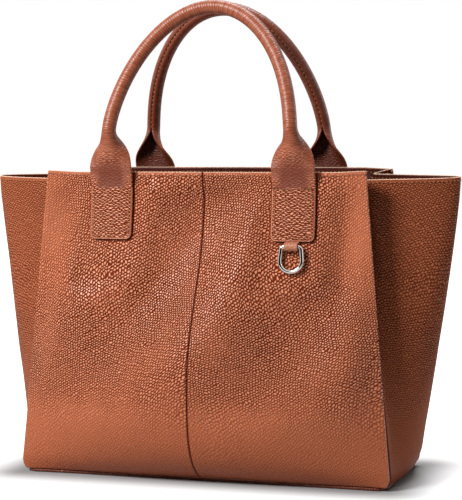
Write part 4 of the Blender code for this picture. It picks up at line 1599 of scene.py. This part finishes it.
class TOTE_OT_stitches(bpy.types.Operator):
    """Sew the rims, the tabs and the handle seams"""

    bl_idname = "tote.stitches"
    bl_label = "Stitches"

    def execute(self, context):
        seams = context.scene.tote_seams
        finish = thread("sewing_thread", seams)
        pitch = seams.pitch
        made = (pitch * STITCH_SHARE, seams.thread_radius, finish)
        for word, side in SIDES:
            for hand_word, hand in HANDS:
                path = sewn_row(panel_net(side, hand), (hand > 0) != (side < 0))
                row = [s for s in resample(path, pitch, ROW_MARGIN) if beside_tabs(s[0].x)]
                stitch_mesh(f"{word}_rim_stitches_{hand_word}", row, *made)
            net = inner_net(side, FACING_FOOT, FACING_TOP)
            path = sewn_row(net, side > 0, FACING_BEHIND + FACING, True)
            stitch_mesh(f"{word}_facing_stitches", resample(path, pitch, ROW_MARGIN), *made)
        for word, hand in HANDS:
            path = sewn_row(gusset_net(hand), hand < 0)
            row = resample(path, pitch, WING_ROW_MARGIN)
            stitch_mesh(f"{word}_wing_stitches", row, *made)
            net = gusset_net(hand, FACING_FOOT, FACING_TOP, SEWN_COLUMNS)
            path = sewn_row(net, hand < 0, LINING_BEHIND + FACING, True)
            row = resample(path, pitch, WING_ROW_MARGIN)
            stitch_mesh(f"{word}_wing_facing_stitches", row, *made)
        for word, side in SIDES:
            for hand_word, hand in HANDS:
                row = self.tab_box(side, hand, pitch)
                stitch_mesh(f"{word}_tab_stitches_{hand_word}", row, *made)
            path = []
            for outer, _inner, _marks in strip_rows(side):
                ends = outer[0].lerp(outer[-1], 0.5)
                middle = outer[len(outer) // 2]
                closed = (outer[0] - outer[-1]).length < HANDLE_SEAM_GAP
                if closed and middle.z > HANDLE_ROW_FOOT:
                    path.append((ends, (ends - middle).normalized()))
            row = resample(path, HANDLE_PITCH, HANDLE_ROW_MARGIN)
            small = (HANDLE_STITCH, HANDLE_THREAD, finish)
            stitch_mesh(f"{word}_handle_stitches", row, *small, f"{word}_handle")
        return {"FINISHED"}

    @staticmethod
    def tab_box(side, hand, pitch):
        """Stitch stations down one side of a tab, round its foot, up the other and across."""
        half = TAB_WIDTH / 2 - TAB_ROW
        corner = TAB_CORNER_RADIUS - TAB_ROW
        foot = TAB_BOTTOM + TAB_ROW
        down = [(-half, lerp(TOP_ROW_HEIGHT, foot + corner, step / 20)) for step in range(21)]
        turns = [pi / 2 * step / 6 for step in range(1, 7)]
        down += [(corner - half - corner * cos(t), foot + corner - corner * sin(t)) for t in turns]
        outline = down + [(-x, z) for x, z in reversed(down)]
        across = [(lerp(-half, half, step / 20), TOP_ROW_HEIGHT) for step in range(21)]

        def lay(line):
            path = []
            for off, z in line:
                x = hand * HANDLE_SPREAD / 2 + off
                slope = (panel_depth(x, z + 0.001) - panel_depth(x, z - 0.001)) / 0.002
                turn = (panel_depth(x + 0.001, z) - panel_depth(x - 0.001, z)) / 0.002
                normal = Vector((-turn, side, -slope)).normalized()
                depth = panel_depth(x, z) + TAB_GAP + TAB_THICKNESS
                path.append((Vector((x, side * depth, z)), normal))
            return path

        box = resample(lay(outline), pitch * 0.86, BOX_MARGIN)
        return box + resample(lay(across), pitch * 0.78)


class TOTE_OT_hidden(bpy.types.Operator):
    """Finish the base board and the handles' filler cords, which keep their solids"""

    bl_idname = "tote.hidden"
    bl_label = "Board and Cords"

    def execute(self, context):
        board = moulded_board("base_board_finish", BOARD_COLOR)
        cord = twisted_cord("filler_cord_finish", CORD_COLOR)
        for name, finish in (
            ("base_board", board),
            ("front_handle_core", cord),
            ("back_handle_core", cord),
        ):
            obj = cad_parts[name]
            obj.data.materials.clear()
            obj.data.materials.append(finish)
        return {"FINISHED"}


def photo_camera():
    """The camera, which looks at the front from a little to the right."""
    yaw, pitch, roll = CAMERA_YAW, CAMERA_PITCH, CAMERA_ROLL
    forward = Vector((-sin(yaw) * cos(pitch), cos(yaw) * cos(pitch), -sin(pitch)))
    right = Vector((cos(yaw), sin(yaw), 0))
    up = right.cross(forward)
    right, up = right * cos(roll) + up * sin(roll), up * cos(roll) - right * sin(roll)
    turn = Matrix((right, up, -forward)).transposed().to_4x4()
    data = bpy.data.cameras.new("photo_camera")
    data.lens, data.sensor_width = CAMERA_LENS, 36
    data.clip_start, data.clip_end = 0.05, 50
    camera = bpy.data.objects.new("photo_camera", data)
    camera.matrix_world = Matrix.Translation(CAMERA_PLACE) @ turn
    bpy.context.scene.collection.objects.link(camera)
    bpy.context.scene.camera = camera


def softbox(name, place, target, size, power):
    data = bpy.data.lights.new(name, "AREA")
    data.shape, data.size, data.size_y = "RECTANGLE", size[0], size[1]
    data.energy = power
    light = bpy.data.objects.new(name, data)
    light.location = place
    light.rotation_euler = (Vector(target) - Vector(place)).to_track_quat("-Z", "Y").to_euler()
    bpy.context.scene.collection.objects.link(light)


def floor_paper(tone):
    """Pale paper that keeps the shadow close to the bag, and is white to the camera further off,
    where it glows; close to the bag the glow fades, as a painted shadow.
    """
    shader = Shader("floor_paper")
    rays = shader.node("LightPath", out="Is Camera Ray")
    paper = shader.noise(shader.place(), 40.0, 2.0)
    color = shader.mix(paper * 0.05, tone, tinted(tone, 0.9))
    lit = shader.node("BsdfDiffuse", inputs={"Color": color})
    x, y, _ = shader.parts(shader.place())
    beyond = (abs(x) - BASE_HALF_LENGTH).most(0.0), (abs(y) - BASE_DEPTH / 2).most(0.0)
    clear = (beyond[0] * beyond[0] + beyond[1] * beyond[1]) ** 0.5
    # painted shadow: the glow to the camera fades close to the bag
    glow_past_painted_shadow = clear.step(0.0, 0.05) * 0.8 + clear.step(0.03, 0.2) * 0.5
    glow = shader.node("Emission", inputs={"Color": (1, 1, 1), "Strength": glow_past_painted_shadow})
    dim = shader.node("BsdfDiffuse", inputs={"Color": tinted(tone, 0.6)})
    bright = shader.node("AddShader", inputs={0: dim, 1: glow})
    mixed = shader.node("MixShader", inputs={0: rays, 1: lit, 2: bright})
    shader.node("OutputMaterial", inputs={0: mixed})
    return shader.owner


def studio_world():
    """A faint even light, white to the camera and in metal and glass."""
    world = bpy.data.worlds.new("studio")
    sky = Shader("studio", world)
    seen = sky.node("LightPath", out="Is Camera Ray")
    seen = seen.most(sky.node("LightPath", out="Is Glossy Ray"))
    seen = seen.most(sky.node("LightPath", out="Is Transmission Ray"))
    ambient = sky.node("Background", inputs={"Color": (1, 1, 1), "Strength": 0.06})
    white = sky.node("Background", inputs={"Color": (1, 1, 1), "Strength": 1.0})
    mixed = sky.node("MixShader", inputs={0: seen, 1: ambient, 2: white})
    sky.node("OutputWorld", inputs={0: mixed})
    return world


class TOTE_OT_stage(bpy.types.Operator):
    """Make the floor, the studio light and the camera"""

    bl_idname = "tote.stage"
    bl_label = "Stage"

    def execute(self, context):
        scene = context.scene
        scene.view_settings.view_transform = "Standard"
        deselect()
        bpy.ops.mesh.primitive_plane_add(size=12, location=(0, 0, FLOOR_LEVEL))
        floor = context.object
        floor.name = "floor"
        floor.data.materials.append(floor_paper(tuple(scene.tote_stage.floor_color)))

        # a dark cloth, unseen by the camera, that the leather and the ring reflect
        bpy.ops.mesh.primitive_plane_add(size=1, location=FLAG_PLACE, rotation=(-pi / 2, 0, 0))
        flag = context.object
        flag.name = "dark_flag"
        flag.scale = FLAG_SCALE
        flag.visible_camera = False
        cloth = Shader("flag_cloth")
        felt = cloth.node("BsdfDiffuse", inputs={"Color": (0.03, 0.03, 0.03)})
        cloth.node("OutputMaterial", inputs={0: felt})
        flag.data.materials.append(cloth.owner)

        scene.world = studio_world()
        for name, settings in SOFTBOXES.items():
            softbox(name, *settings)
        photo_camera()
        return {"FINISHED"}


class TOTE_PT_sidebar(bpy.types.Panel):
    bl_label = "Tote Bag"
    bl_idname = "TOTE_PT_sidebar"
    bl_space_type = "VIEW_3D"
    bl_region_type = "UI"
    bl_category = "Tote Bag"

    def draw(self, context):
        scene = context.scene
        for group in SETTINGS:
            settings = getattr(scene, group)
            for key in settings.bl_rna.properties.keys():
                if key not in ("rna_type", "name"):
                    self.layout.prop(settings, key)
        for operator in OPERATORS:
            self.layout.operator(operator.bl_idname)


SETTINGS = {
    "tote_leather": ToteLeather,
    "tote_seams": ToteSeams,
    "tote_inside": ToteInside,
    "tote_fittings": ToteFittings,
    "tote_stage": ToteStage,
}
OPERATORS = (
    TOTE_OT_panels,
    TOTE_OT_gussets,
    TOTE_OT_facings,
    TOTE_OT_linings,
    TOTE_OT_base,
    TOTE_OT_handles,
    TOTE_OT_ring,
    TOTE_OT_keeper,
    TOTE_OT_stitches,
    TOTE_OT_hidden,
    TOTE_OT_stage,
)


def register():
    for name, group in SETTINGS.items():
        bpy.utils.register_class(group)
        setattr(bpy.types.Scene, name, bpy.props.PointerProperty(type=group))
    for item in (*OPERATORS, TOTE_PT_sidebar):
        bpy.utils.register_class(item)


def unregister():
    for item in reversed((*OPERATORS, TOTE_PT_sidebar)):
        bpy.utils.unregister_class(item)
    for name, group in SETTINGS.items():
        delattr(bpy.types.Scene, name)
        bpy.utils.unregister_class(group)


def main():
    register()
    for operator in OPERATORS:
        group, name = operator.bl_idname.split(".")
        getattr(getattr(bpy.ops, group), name)()


if __name__ == "__main__":
    main()
